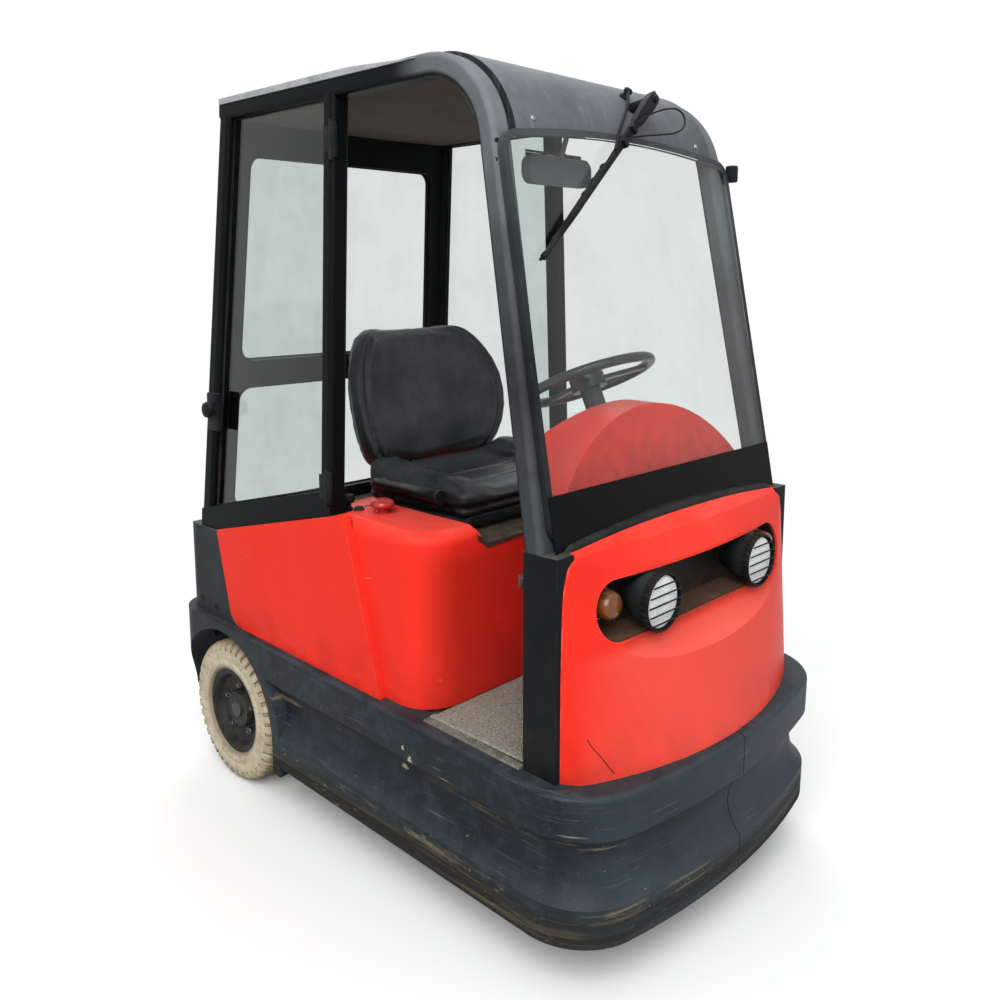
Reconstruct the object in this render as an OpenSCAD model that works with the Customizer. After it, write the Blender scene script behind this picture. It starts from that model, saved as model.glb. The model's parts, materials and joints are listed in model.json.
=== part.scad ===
// Electric tow tractor with a cab: three wheels, heavy wrap-round bumper, moulded hood and cowl.
// Millimetres. +Z is up, the nose points along -Y, the driver's right-hand side is -X.
// The origin is on the ground, in the middle of the vehicle's length and width.

/* [Overall] */
// Length from the bumper's nose to the tip of the tow jaw
overall_len = 1800; // [1760:5:1900]
// Width over the bumper
overall_w = 1000; // [980:5:1060]
// Height of the cab's roof rails above the ground
rail_top_z = 1953; // [1900:1:2020]

/* [Wheels] */
// Outer diameter of the solid tyres
tyre_d = 415; // [400:1:425]
// Width of the tyres
tyre_w = 112; // [96:1:116]
// Diameter of the rim's flange
rim_d = 250; // [230:1:270]
// Bumper's nose to the front axle
front_overhang = 340; // [320:1:360]
// Rear axle to the tip of the tow jaw
rear_axle_back = 390; // [380:1:400]
// Bumper's side to the middle of a rear tyre
track_inset = 76; // [70:1:85]
// Steering lock each way, in degrees
steer_lock = 80; // [60:1:85]

/* [Bumper] */
// Height of the bumper's lower edge at the nose
bumper_low_z = 118; // [100:1:130]
// Height of the bumper's upper edge at the nose
bumper_top_z = 456; // [450:1:462]
// Depth of the bumper's section, outside to inside
bumper_t = 70; // [60:1:80]
// Plan radius of the bumper's front
nose_r = 1800; // [1500:10:2400]
// Plan radius of the bumper's front corners
corner_r = 175; // [140:1:200]
// Height of the groove between the two bumper bands
groove_h = 150; // [120:1:160]
// Depth of that groove
groove_depth = 36; // [20:1:44]
// Rise of the bumper towards the rear, in degrees
bumper_rake = 1; // [0:0.1:1.4]

/* [Body] */
// Top of the deck plate
deck_z = 456; // [450:1:456]
// Thickness of the deck plate
deck_t = 12; // [8:1:16]
// Thickness of the floor mat
mat_t = 8; // [4:1:12]
// Bumper's side to the hood's side
hood_inset = 45; // [42:1:50]
// Bumper's nose to the hood's front face
hood_setback = 565; // [555:1:580]
// Top of the hood's side consoles
hood_top_z = 890; // [875:1:900]
// Floor of the seat's recess in the hood
seat_floor_z = 844; // [830:1:850]
// Wall of the moulded hood and covers
shell_t = 20; // [14:1:26]
// Rear face of the body to the tip of the tow jaw
jaw_reach = 125; // [120:1:130]
// Plan radius of the body's rear corners
rear_corner_r = 100; // [80:1:115]

/* [Cab] */
// Bumper's side to the foot of the cab
cab_inset = 31; // [28:1:34]
// Lean of the cab's sides towards the middle, in degrees
tumblehome = 2.4; // [1.5:0.1:3]
// Rake of the windscreen and front pillars, in degrees
pillar_rake = 11; // [9:0.5:12]
// Plan depth of pillars and rails
pillar_d = 50; // [44:1:54]
// Width of pillars and rails across the cab
pillar_w = 52; // [46:1:56]
// Centreline radius where front pillar bends into roof rail
hoop_r = 200; // [180:1:220]
// Hood's front face to the middle of the door post
post_setback = 370; // [355:1:385]
// Thickness of the glass
glass_t = 6; // [4:0.5:8]

/* [Hitch] */
// Radius of the bores for the drawbar pin
hitch_bore_r = 16; // [12:0.5:18]
// Thickness of each jaw plate
jaw_t = 16; // [12:1:20]
// Gap between two jaw plates
jaw_gap = 52; // [44:1:60]

/* [Hidden] */
$fn = 96;
// Clearance of parts that seat on each other
seat_gap = 0.3;
// Clearance between neighbouring panels
panel_gap = 2;

half_w = overall_w / 2;
nose_y = -overall_len / 2;
jaw_tip_y = overall_len / 2;
wheel_r = tyre_d / 2;
rear_axle_y = jaw_tip_y - rear_axle_back;
front_axle_y = nose_y + front_overhang;
rear_track = overall_w - 2 * track_inset;
hood_half_w = half_w - hood_inset;
hood_front_y = nose_y + hood_setback;
body_rear_y = jaw_tip_y - jaw_reach;
cab_half_w = half_w - cab_inset;
door_post_y = hood_front_y + post_setback;

// Plan of the bumper: a wide arc at the nose, a corner arc tangent to it, then straight sides
nose_cy = nose_y + nose_r;
corner_x = half_w - corner_r;
corner_y = nose_cy - sqrt(pow(nose_r - corner_r, 2) - corner_x * corner_x);
corner_phi = asin(corner_x / (nose_r - corner_r));
seam_gap = 3;
// Step by which a swept end plugs into the next sweep
hair = 0.2;
plug_phi = 0.05;
band_r = 14;
groove_z = (bumper_low_z + bumper_top_z) / 2;
groove_r = (groove_h * groove_h / 4 + groove_depth * groove_depth) / (2 * groove_depth);
arch_r = wheel_r + 44;
inner_half_w = half_w - bumper_t;

// Heights along the sloping shoulder between red panels and cab
rear_deck_z = 745;
rear_body_len = 207;
rear_body_front_y = body_rear_y - rear_body_len;
post_foot_z = hood_top_z - 12;
shoulder_slope = (rear_deck_z - post_foot_z) / (rear_body_front_y - door_post_y);
function shoulder_z(y) = post_foot_z + shoulder_slope * (y - door_post_y);

// Cab
cab_base_z = 748;
rail_z = rail_top_z - pillar_d / 2;
pillar_setback = 232;
pillar_foot = [nose_y + pillar_setback, 930];
post_d = 44;
rear_pillar_inset = 120;
rear_pillar_low_y = body_rear_y - rear_pillar_inset;
rear_rake = 5.6;
rear_wall_t = 40;

// Bumper and skirt details
arch_strip = 34;
skirt_rear_low_z = 210;

// Chassis
deck_clear = 0.5;
deck_half_w = inner_half_w - seat_gap;
deck_rear_y = body_rear_y - bumper_t - seat_gap;
well_in_x = rear_track / 2 - tyre_w / 2 - 20;
member_x = 250;
member_t = 30;
member_low_z = 270;
member_front_y = front_axle_y + wheel_r + 60;
kingpin_r = 35;
boss_r = 60;
boss_h = 60;
boss_flange_r = 95;
boss_flange_t = 8;

// Rear axle
stub_r = 22;
axle_tube_x = rear_track / 2 - tyre_w / 2 - 30;
axle_tube_r = 48;
gear_case_r = 105;
motor_r = 88;
motor_len = 330;

// Seat
seat_half_w = 262;
cushion_len = 345;
cushion_front_y = hood_front_y + 70;
cushion_rear_y = cushion_front_y + cushion_len;
cushion_low_z = 874;
cushion_top_z = 978;
cushion_dish = 38;
cushion_roll = 44;
cushion_side_r = 26;
seat_back_low_z = 938;
seat_back_top_z = 1345;
seat_back_half_w = seat_half_w + 23;
seat_back_t = 84;
seat_wrap_r = 480;
seat_wrap = 40;
bellows_layers = 3;
bellows_w = 400;
link_t = 6;
link_w = 40;
bracket_low_z = cushion_low_z - 14;
bracket_w = 120;
bracket_h = 300;
lever_x = 38;
lever_z = cushion_low_z + 68;
lever_r = 18;
lever_len = 254;
lever_y = cushion_rear_y - 55;
seat_back_y = cushion_rear_y + 70;
seat_lean = 11;

// Hood
hood_edge_r = 34;
hood_corner_r = 100;
hood_back_r = 40;
hood_rear_y = rear_body_front_y - panel_gap;
hood_mid_y = hood_front_y + 375;
hood_step_y = hood_front_y + 275;
seat_recess_w = seat_half_w + 2;
seat_recess_len = 640;
recess_flare = 34;
battery_side_gap = 135;
battery_front_gap = 90;
battery_rear_gap = 191;
battery_w = 2 * (hood_half_w - battery_side_gap);
battery_y0 = hood_front_y + battery_front_gap;
battery_len = hood_rear_y - battery_rear_gap - battery_y0;
battery_h = 290;
side_panel_t = 20;
side_panel_x = hood_half_w + seat_gap;

// Front cowl, lamps and dash
cowl_back_y = nose_y + 200;
cowl_half_w = half_w - 41;
cowl_nose_y = nose_y + 22;
post_front_y = nose_y + 165;
post_rear_y = nose_y + 255;
lamp_z = 797;
recess_w = 2 * (cowl_half_w - 87);
lamp_r = 63;
recess_h = 128;
tray_back_y = cowl_back_y - 2;
tray_t = 8;
tray_wall = 3;
bulkhead_y = nose_y + 225;
bulkhead_t = 15;
tunnel_half_w = 120;
tunnel_rear_y = bulkhead_y + 195;
mat_front_y = bulkhead_y + bulkhead_t + panel_gap;
dash_half_w = cowl_half_w - 59;
dome_z = 1180;
dome_r = 450;
dash_low_z = 800;
dash_d = 245;
dash_side_d = 58;
dash_core_w = 175;

// Steering
wheel_hub = [0, nose_y + 470, 1220];
column_tilt = 25;
steering_wheel_r = 175;
rim_grip_r = 12;
column_r = 26;
column_len = 190;
fork_arm_x = tyre_w / 2 + 10;
fork_arm_t = 14;
front_axle_r = 15;
fork_arm_w = 76;
pedal_w = 68;
pedal_len = 130;
pedal_pitch = 80;
pedal_gap = 26;
pedal_tilt = 38;

// Tow jaw
jaw_low_z = 232;
jaw_w = 104;
hitch_plate_t = 20;
jaw_bore_y = jaw_tip_y - jaw_w / 2;
pin_socket_x = jaw_w / 2 + 43;
pin_socket_y = body_rear_y + hitch_plate_t + 40;
pin_socket_z = jaw_low_z + 100;
pin_socket_h = 80;
pin_handle_w = 46;

// Panels and rear body
panel_front_y = door_post_y - 93;
panel_rear_y = rear_body_front_y - 12;
rear_inset = 24;
rear_edge_r = 50;
rear_lamp_x = half_w - 170;
rear_lamp_z = 600;
rear_lamp_w = 70;
rear_lamp_h = 110;
rear_lamp_t = 24;
rear_lamp_r = 14;

// Front cowl
cowl_top_z = 950;
cowl_arch_r = 4300;
cowl_edge_z = cowl_top_z - 19;
cowl_corner_r = 45;
scoop_r = 102;
scoop_z = lamp_z - 52;
scoop_y = nose_y + 12;
cowl_t = 34;
lamp_depth = 96;
indicator_x = recess_w / 2 - recess_h / 2 + 8;
indicator_lift = 8;
lamp_pitch = 113;
lamp_drum_r = lamp_r - 4;
guard_len = 26;
guard_pitch = 23;
lamp_x = indicator_x - lamp_pitch;
indicator_r = 34;
indicator_depth = 46;
crown_t = 18;
cab_foot_out = cab_half_w - tan(tumblehome) * (pillar_foot[1] - cab_base_z);
cab_foot_in = cab_foot_out - pillar_w;
mat_half_w = cab_foot_in - panel_gap;

// Hoop: the bend is tangent to pillar and rail
bend_low = [pillar_foot[0] + tan(pillar_rake) * (rail_z - hoop_r * (1 - sin(pillar_rake)) - pillar_foot[1]),
    rail_z - hoop_r * (1 - sin(pillar_rake))];
bend_mid = [bend_low[0] + hoop_r * cos(pillar_rake), rail_z - hoop_r];
rail_rear_y = rear_pillar_low_y - tan(rear_rake) * (rail_z - cab_base_z);
sill_h = 72;
post_edge_y = door_post_y - 32;
rear_windows = [[790, 1154], [1236, 1820]];
roof_t = 30;
roof_proud = 6;

// Windscreen
screen_low_w = cab_half_w - 29;
screen_top_w = screen_low_w - 16;
screen_low_v = 0;
screen_top_v = 850;
screen_bow = 30;
screen_frame_w = 15;
screen_frame_t = 16;

// Wiper, mirror and stop button
wiper_pivot = [80, 965];
wiper_root = 70;
wiper_angle = 229.7;
wiper_arm = 420;
wiper_blade_start = 250;
wiper_blade = 334;
mirror_x = -120;
mirror_y = pillar_foot[0] + 248;
mirror_z = 1715;
mirror_w = 220;
mirror_h = 64;
mirror_t = 22;
stop_x = -hood_half_w + 93;
stop_y = hood_front_y + 263;
stop_r = 31;
stop_h = 20;

// Colours of paint, rubber and trim
red = "#e8361f";
slate = "#3b4750";
black = "#1b1f22";
rubber_tan = "#d8c8a4";

// Shared helpers

// Points along an arc, from angle a0 to a1 in degrees
function arc(c, r, a0, a1,
    n = 12) = [for (i = [0:n]) c + r * [cos(a0 + (a1 - a0) * i / n), sin(a0 + (a1 - a0) * i / n)]];

// Rectangle with four equal round corners, its middle at the origin
module round_rect(w, h, r) {
    square([w - 2 * r, h], center = true);
    square([w, h - 2 * r], center = true);
    for (x = [-1, 1], y = [-1, 1])
        translate([x * (w / 2 - r), y * (h / 2 - r)]) circle(r);
}

// Slot with round ends, its middle at the origin
module slot(w, h) {
    square([w - h, h], center = true);
    for (x = [-1, 1])
        translate([x * (w - h) / 2, 0]) circle(h / 2);
}

// A profile drawn as [y, z], carried from x0 to x1 across the vehicle
module across(x0, x1) {
    translate([x0, 0, 0]) rotate([90, 0, 90]) linear_extrude(x1 - x0) children();
}

// A profile drawn as [x, z], carried from y0 to y1 along the vehicle
module along(y0, y1) {
    translate([0, y1, 0]) rotate([90, 0, 0]) linear_extrude(y1 - y0) children();
}

// Draws the left-hand piece on the side named: 1 is left, -1 is right
module on_side(side) {
    mirror([side < 0 ? 1 : 0, 0, 0]) children();
}

// Tilts what is drawn level to the bumper's rake
module raked() {
    translate([0, nose_y, bumper_top_z]) rotate([bumper_rake, 0, 0]) translate([0, -nose_y, -bumper_top_z])
        children();
}

// Everything below the bumper's upper face
module below_bumper_top() {
    raked() translate([-overall_w, nose_y - 100, -400])
        cube([2 * overall_w, overall_len + 200, bumper_top_z + 400]);
}

// Height of the bumper's upper face at y
function bumper_top(y) = bumper_top_z + (y - nose_y) * tan(bumper_rake);

// Bumper and rear skirt

module bumper_section(inset = 0) {
    low = bumper_low_z + inset;
    top = bumper_top_z - inset;
    translate([-inset, 0]) difference() {
        union() {
            translate([2 * inset - bumper_t, low]) square([bumper_t - 2 * inset - band_r, top - low]);
            translate([2 * inset - bumper_t, low + band_r])
                square([bumper_t - 2 * inset, top - low - 2 * band_r]);
            for (z = [low + band_r, top - band_r])
                translate([-band_r, z]) circle(band_r);
        }
        translate([groove_r - groove_depth, groove_z]) circle(groove_r);
    }
}

// Left half of the bumper: nose and side plug into the corner sweep, and the side ends at the wheel arch
module bumper_half() {
    difference() {
        raked() {
            translate([0, nose_cy, 0]) rotate([0, 0, -90])
                rotate_extrude(angle = corner_phi + plug_phi) translate([nose_r, 0]) bumper_section(hair);
            translate([corner_x, corner_y, 0]) rotate([0, 0, corner_phi - 90])
                rotate_extrude(angle = 90 - corner_phi) translate([corner_r, 0]) bumper_section();
            translate([half_w, rear_axle_y, 0]) rotate([90, 0, 0])
                linear_extrude(rear_axle_y - corner_y + 1) bumper_section(hair);
        }
        translate([0, rear_axle_y, wheel_r]) rotate([0, 90, 0])
            cylinder(r = arch_r + arch_strip + panel_gap, h = overall_w);
        translate([0, rear_axle_y - arch_r - arch_strip - panel_gap, -10])
            cube([overall_w, overall_len, wheel_r + 10]);
        translate([0, rear_axle_y - arch_r * 0.6, 0]) cube([overall_w, overall_len, overall_len]);
        translate([-overall_w, -overall_len, 0])
            cube([overall_w + seam_gap / 2, 2 * overall_len, overall_len]);
    }
}

module bumper_right() {
    color(slate) on_side(-1) bumper_half();
}

module bumper_left() {
    color(slate) on_side(1) bumper_half();
}

// Plan of the body's rear half, set in from the outside by inset
module rear_plan(inset, y0) {
    hw = half_w - inset;
    r = rear_corner_r - inset;
    yr = body_rear_y - inset;
    translate([-hw, y0]) square([2 * hw, yr - r - y0]);
    translate([r - hw, y0]) square([2 * (hw - r), yr - y0]);
    for (s = [-1, 1])
        translate([s * (hw - r), yr - r]) circle(r);
}

// Fenders and tail apron: one plate bent round the rear, with the wheel arches cut in it
module rear_skirt() {
    y0 = rear_axle_y - arch_r - arch_strip;
    color(slate) difference() {
        translate([0, 0, bumper_low_z]) linear_extrude(bumper_top_z) difference() {
            rear_plan(0, y0);
            rear_plan(bumper_t, y0 - 1);
        }
        difference() {
            translate([-overall_w, y0 - 10, 0]) cube([2 * overall_w, overall_len, overall_len]);
            below_bumper_top();
        }
        translate([-overall_w, rear_axle_y, wheel_r]) rotate([0, 90, 0])
            cylinder(r = arch_r, h = 2 * overall_w);
        difference() {
            translate([-overall_w, y0 - 10, wheel_r])
                cube([2 * overall_w, rear_axle_y - y0 + 10, overall_len]);
            translate([-overall_w, rear_axle_y, wheel_r]) rotate([0, 90, 0])
                cylinder(r = arch_r + arch_strip, h = 2 * overall_w);
        }
        translate([-overall_w, rear_axle_y - arch_r, -10])
            cube([2 * overall_w, overall_len, skirt_rear_low_z + 10]);
    }
}

// Chassis: deck, side members and the boss that carries the steering fork

module deck_plan() {
    r = corner_r - bumper_t;
    translate([-deck_half_w, corner_y]) square([2 * deck_half_w, deck_rear_y - corner_y]);
    polygon(concat(
        arc([0, nose_cy], nose_r - bumper_t - deck_clear, -90 - corner_phi, -90 + corner_phi, 16),
        arc([corner_x, corner_y], r - deck_clear, corner_phi - 90, 0, 10),
        arc([-corner_x, corner_y], r - deck_clear, 180, 270 - corner_phi, 10)));
}

module chassis() {
    color(black) difference() {
        union() {
            difference() {
                translate([0, 0, deck_z - deck_t]) linear_extrude(deck_t) deck_plan();
                for (s = [-1, 1])
                    translate([s > 0 ? well_in_x : -overall_w, rear_axle_y - arch_r, deck_z - deck_t - 10])
                        cube([overall_w - well_in_x, 2 * arch_r, deck_t + 20]);
            }
            for (s = [-1, 1])
                translate([s * member_x - member_t / 2, member_front_y, member_low_z])
                    cube([member_t, deck_rear_y - member_front_y, deck_z - deck_t - member_low_z]);
            for (y = [member_front_y, rear_axle_y - 200])
                translate([-member_x, y, member_low_z + 60])
                    cube([2 * member_x, member_t, deck_z - deck_t - member_low_z - 60]);
            translate([0, front_axle_y, deck_z - deck_t - boss_flange_t])
                cylinder(r = boss_flange_r, h = boss_flange_t);
            translate([0, front_axle_y, deck_z - deck_t]) cylinder(r = boss_r, h = deck_t + boss_h);
        }
        translate([0, front_axle_y, deck_z - deck_t - boss_flange_t - 1])
            cylinder(r = kingpin_r + seat_gap, h = deck_t + boss_flange_t + boss_h - 8);
    }
}

module floor_mat() {
    color("#6d7275") translate([0, 0, deck_z]) linear_extrude(mat_t) difference() {
        translate([-mat_half_w, mat_front_y])
            square([2 * mat_half_w, hood_front_y - panel_gap - mat_front_y]);
        translate([-tunnel_half_w - panel_gap, mat_front_y - 1])
            square([2 * (tunnel_half_w + panel_gap), tunnel_rear_y + panel_gap - mat_front_y + 1]);
    }
}

// Rear axle: tube, gear case, motor and the stub shafts that carry the wheels
module drive_axle() {
    stub_end_x = rear_track / 2 + tyre_w / 2 - 16;
    color(black) {
        translate([-stub_end_x, rear_axle_y, wheel_r]) rotate([0, 90, 0])
            cylinder(r = stub_r, h = 2 * stub_end_x);
        translate([-axle_tube_x, rear_axle_y, wheel_r]) rotate([0, 90, 0])
            cylinder(r = axle_tube_r, h = 2 * axle_tube_x);
        translate([-60, rear_axle_y, wheel_r]) rotate([0, 90, 0]) cylinder(r = gear_case_r, h = 120);
        translate([0, rear_axle_y, wheel_r + 20]) rotate([90, 0, 0]) cylinder(r = motor_r, h = motor_len);
        for (s = [-1, 1])
            translate([s * member_x - 30, rear_axle_y - 45, wheel_r])
                cube([60, 90, member_low_z - wheel_r]);
    }
}

module battery() {
    color("#55595c") translate([-battery_w / 2, battery_y0, deck_z])
        cube([battery_w, battery_len, battery_h]);
}

// Hood, side panels and rear body

// One corner of the hood: a post with round top edge, its middle at [x, y]
module hood_corner(x, y, r, top) {
    edge = min(hood_edge_r, r - 2);
    h = top - deck_z + 40;
    translate([x, y, deck_z - 40]) rotate_extrude($fn = 40) {
        square([r - edge, h]);
        square([r, h - edge]);
        translate([r - edge, h - edge]) intersection() {
            circle(edge, $fn = 32);
            square(edge);
        }
    }
}

module hood_outside(inset = 0) {
    hull() for (s = [-1, 1]) {
        hood_corner(s * (hood_half_w - hood_corner_r), hood_front_y + hood_corner_r, hood_corner_r - inset,
            hood_top_z - inset);
        hood_corner(s * (hood_half_w - hood_back_r), hood_mid_y, hood_back_r - inset, hood_top_z - inset);
        hood_corner(s * (hood_half_w - hood_back_r), hood_rear_y - hood_back_r, hood_back_r - inset,
            shoulder_z(hood_rear_y - 2 * hood_back_r) - inset);
    }
}

module seat_hood() {
    color(red) difference() {
        hood_outside();
        intersection() {
            hood_outside(shell_t);
            translate([-overall_w, -overall_len, 0])
                cube([2 * overall_w, 2 * overall_len, seat_floor_z - shell_t]);
        }
        below_bumper_top();
        across(-overall_w, overall_w) polygon([[hood_step_y, shoulder_z(hood_step_y)],
            [body_rear_y, shoulder_z(body_rear_y)], [body_rear_y, overall_len],
                [hood_step_y, overall_len]]);
        along(hood_front_y - 1, hood_front_y + seat_recess_len) translate([0, seat_floor_z])
            polygon([[-seat_recess_w, 0], [seat_recess_w, 0], [seat_recess_w + recess_flare, 60],
                [-seat_recess_w - recess_flare, 60]]);
    }
}

// Red panel that closes the side below the cab, with a round lower rear corner
module side_panel_half() {
    corner = 60;
    color(red) difference() {
        across(side_panel_x, side_panel_x + side_panel_t) polygon(concat(
            [[panel_front_y - 140, deck_z - 20], [panel_front_y, shoulder_z(panel_front_y)]],
            [[panel_rear_y, shoulder_z(panel_rear_y)]],
            arc([panel_rear_y - 55 - corner, bumper_top(panel_rear_y) + corner], corner, -15, -90, 10),
            [[panel_rear_y - 55 - corner, deck_z - 20]]));
        below_bumper_top();
    }
}

module side_panel_right() {
    on_side(-1) side_panel_half();
}

module side_panel_left() {
    on_side(1) side_panel_half();
}

// Counterweight behind the cab: shaped like the skirt in plan, fitted round the ends of the side panels
module rear_body() {
    corner = 60;
    gap = panel_gap;
    color(slate) difference() {
        translate([0, 0, deck_z - 20]) linear_extrude(rear_deck_z - deck_z + 20)
            rear_plan(rear_inset, rear_body_front_y - 120);
        below_bumper_top();
        across(-overall_w, overall_w) polygon(concat(
            [[0, 0], [0, rear_deck_z + 100], [panel_rear_y + gap + 30, rear_deck_z + 100],
             [panel_rear_y + gap, shoulder_z(panel_rear_y)]],
            arc([panel_rear_y - 55 - corner, bumper_top(panel_rear_y) + corner], corner + gap, -15, -90,
                10)));
        translate([-hood_half_w - seat_gap, -overall_len, 0])
            cube([2 * (hood_half_w + seat_gap), overall_len + rear_body_front_y, overall_len]);
        across(-overall_w, overall_w) polygon(concat([[body_rear_y + 50, rear_deck_z + 50]],
            [[body_rear_y + 50, rear_deck_z - rear_edge_r]],
            arc([body_rear_y - rear_inset - rear_edge_r, rear_deck_z - rear_edge_r], rear_edge_r, 0, 90,
                10),
            [[body_rear_y - rear_inset - rear_edge_r, rear_deck_z + 50]]));
    }
}

// Tow jaw: bolted plate with a ladder of drilled lugs for the drawbar eye, and a socket that stows the pin
module tow_hitch() {
    pitch = jaw_t + jaw_gap;
    h = 3 * pitch + jaw_t;
    color(black) difference() {
        union() {
            translate([-jaw_w / 2 - 66, body_rear_y, jaw_low_z - 20])
                cube([jaw_w + 132, hitch_plate_t, h + 40]);
            for (i = [0:3])
                translate([0, 0, jaw_low_z + i * pitch]) linear_extrude(jaw_t) {
                    translate([-jaw_w / 2, body_rear_y + hitch_plate_t])
                        square([jaw_w, jaw_bore_y - body_rear_y - hitch_plate_t]);
                    translate([0, jaw_bore_y]) circle(jaw_w / 2);
                }
            for (s = [-1, 1])
                translate([s * (jaw_w / 2 + 6) - 6, body_rear_y + hitch_plate_t, jaw_low_z])
                    cube([12, 22, h]);
            translate([pin_socket_x - 14, body_rear_y + hitch_plate_t, pin_socket_z])
                cube([28, 26, pin_socket_h]);
            translate([pin_socket_x, pin_socket_y, pin_socket_z])
                cylinder(r = hitch_bore_r + 7, h = pin_socket_h);
        }
        translate([0, jaw_bore_y, 0]) cylinder(r = hitch_bore_r, h = 2 * jaw_low_z + h);
        translate([pin_socket_x, pin_socket_y, 0])
            cylinder(r = hitch_bore_r + seat_gap - 1, h = 2 * jaw_low_z + h);
    }
}

// Drawbar pin, stowed in its socket beside the jaw
module hitch_pin() {
    color("silver") {
        translate([pin_socket_x, pin_socket_y, pin_socket_z - 70])
            cylinder(r = hitch_bore_r - 1, h = pin_socket_h + 76);
        translate([pin_socket_x, pin_socket_y, pin_socket_z + pin_socket_h])
            cylinder(r = hitch_bore_r + 6, h = 10);
        translate([pin_socket_x - pin_handle_w / 2, pin_socket_y, pin_socket_z + pin_socket_h + 22])
            rotate([0, 90, 0])
            cylinder(r = 8, h = pin_handle_w);
        translate([pin_socket_x, pin_socket_y, pin_socket_z + pin_socket_h]) cylinder(r = 8, h = 22);
    }
}

// Front cowl and lamps

// Half-plan of the cowl at one height, from nose to back edge
function cowl_plan(w, nose, r, corner) =
    let (cy = nose + r, cx = w - corner, ky = cy - sqrt(pow(r - corner, 2) - cx * cx),
        phi = asin(cx / (r - corner)))
    concat([[-w, cowl_back_y]], arc([-cx, ky], corner, 180, 270 - phi, 10),
        arc([0, cy], r, 270 - phi, 270 + phi, 14), arc([cx, ky], corner, 270 + phi, 360, 10),
            [[w, cowl_back_y]]);

// Sections of the cowl from the bumper up: height, half width, nose, plan radius, corner radius
cowl_sections = [
    [bumper_top_z - 10, cowl_half_w, cowl_nose_y, 920, 110],
    [lamp_z + 70, cowl_half_w, cowl_nose_y + 93, 2000, 30],
    [lamp_z + 125, cowl_half_w - 2, cowl_nose_y + 123, 4000, 26],
    [lamp_z + 160, cowl_half_w - 12, cowl_nose_y + 163, 6000, 22]];

module cowl_solid(inset) {
    intersection() {
        hull() for (s = cowl_sections)
            translate([0, 0, s[0]]) linear_extrude(0.1)
                polygon(cowl_plan(s[1] - inset, s[2] + inset, s[3] - inset, max(s[4] - inset, 10)));
        translate([-overall_w, -overall_len, 0])
            cube([2 * overall_w, overall_len + cowl_back_y, 2 * overall_w]);
    }
}

module lamp_slot(grow = 0) {
    along(-overall_len, 0) translate([0, lamp_z]) slot(recess_w + 2 * grow, recess_h + 2 * grow);
}

// Hollow below the lamps, run out at both ends
module lamp_scoop(grow = 0) {
    translate([-overall_w, scoop_y, scoop_z]) rotate([0, 90, 0])
        cylinder(r = scoop_r + grow, h = 2 * overall_w);
}

// Rounds an upper corner of the cowl in front view
module cowl_corner(s) {
    edge_x = cowl_half_w - 12;
    spare = 40;
    along(-overall_len, 0) difference() {
        translate([s * (edge_x - cowl_corner_r / 2 + spare / 2),
            cowl_edge_z - cowl_corner_r / 2 + spare / 2])
            square(cowl_corner_r + spare, center = true);
        translate([s * (edge_x - cowl_corner_r), cowl_edge_z - cowl_corner_r]) circle(cowl_corner_r);
    }
}

module front_cowl() {
    color(red) difference() {
        intersection() {
            cowl_solid(0);
            translate([0, 0, cowl_top_z - cowl_arch_r]) rotate([90, 0, 0])
                cylinder(r = cowl_arch_r, h = overall_len, $fn = 720);
        }
        intersection() {
            cowl_solid(cowl_t);
            translate([-overall_w, -overall_len, 0]) cube([2 * overall_w, overall_len, lamp_z + 110]);
        }
        below_bumper_top();
        lamp_slot();
        lamp_scoop();
        for (s = [-1, 1]) {
            cowl_corner(s);
            translate([s > 0 ? cab_foot_in - 1 : -overall_w, post_front_y - seat_gap, 0])
                cube([overall_w - cab_foot_in + 1, 400, 1200]);
        }
    }
}

// Dark tray behind the lamps
module lamp_tray() {
    color(black) difference() {
        intersection() {
            lamp_slot(-0.5);
            cowl_solid(6);
            translate([-overall_w, -overall_len, 0]) cube([2 * overall_w, overall_len + tray_back_y, 1200]);
        }
        lamp_scoop(4);
        translate([0, tray_back_y - tray_t - overall_len, 0]) intersection() {
            translate([0, overall_len, 0]) lamp_slot(-tray_wall);
            translate([-overall_w, 0, 0]) cube([2 * overall_w, overall_len, 1200]);
        }
    }
}

// Pair of round lamps standing in the tray
module headlamps() {
    color("gainsboro") for (s = [-1, 1])
        translate([s * lamp_x, tray_back_y - tray_t, lamp_z]) rotate([90, 0, 0]) rotate_extrude()
            polygon([[0, 0], [26, 0], [34, 14], [lamp_drum_r, 62], [lamp_drum_r, lamp_depth - 8],
                [lamp_drum_r - 6, lamp_depth - 4], [lamp_drum_r * 0.5, lamp_depth + 4],
                    [0, lamp_depth + 6]]);
}

// Guard over each lamp: a ring with level bars
module lamp_guards() {
    color(black) for (s = [-1, 1])
        translate([s * lamp_x, tray_back_y - tray_t - lamp_depth + 12, lamp_z]) rotate([90, 0, 0]) {
            difference() {
                cylinder(r = lamp_r + 3, h = guard_len);
                translate([0, 0, -1]) cylinder(r = lamp_drum_r + seat_gap, h = guard_len + 2);
            }
            for (i = [-2:2]) {
                half = sqrt(lamp_r * lamp_r - pow(i * guard_pitch, 2));
                translate([-half, i * guard_pitch - 2, guard_len - 6]) cube([2 * half, 4, 6]);
            }
        }
}

module indicators() {
    color("orange") for (s = [-1, 1])
        translate([s * indicator_x, tray_back_y - tray_t, lamp_z + indicator_lift]) rotate([90, 0, 0]) {
            cylinder(r = indicator_r - 2, h = indicator_depth);
            translate([0, 0, indicator_depth])
                cylinder(r1 = indicator_r - 2, r2 = indicator_r * 0.7, h = 12);
            translate([0, 0, indicator_depth + 12])
                cylinder(r1 = indicator_r * 0.7, r2 = indicator_r * 0.3, h = 6);
        }
}

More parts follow.
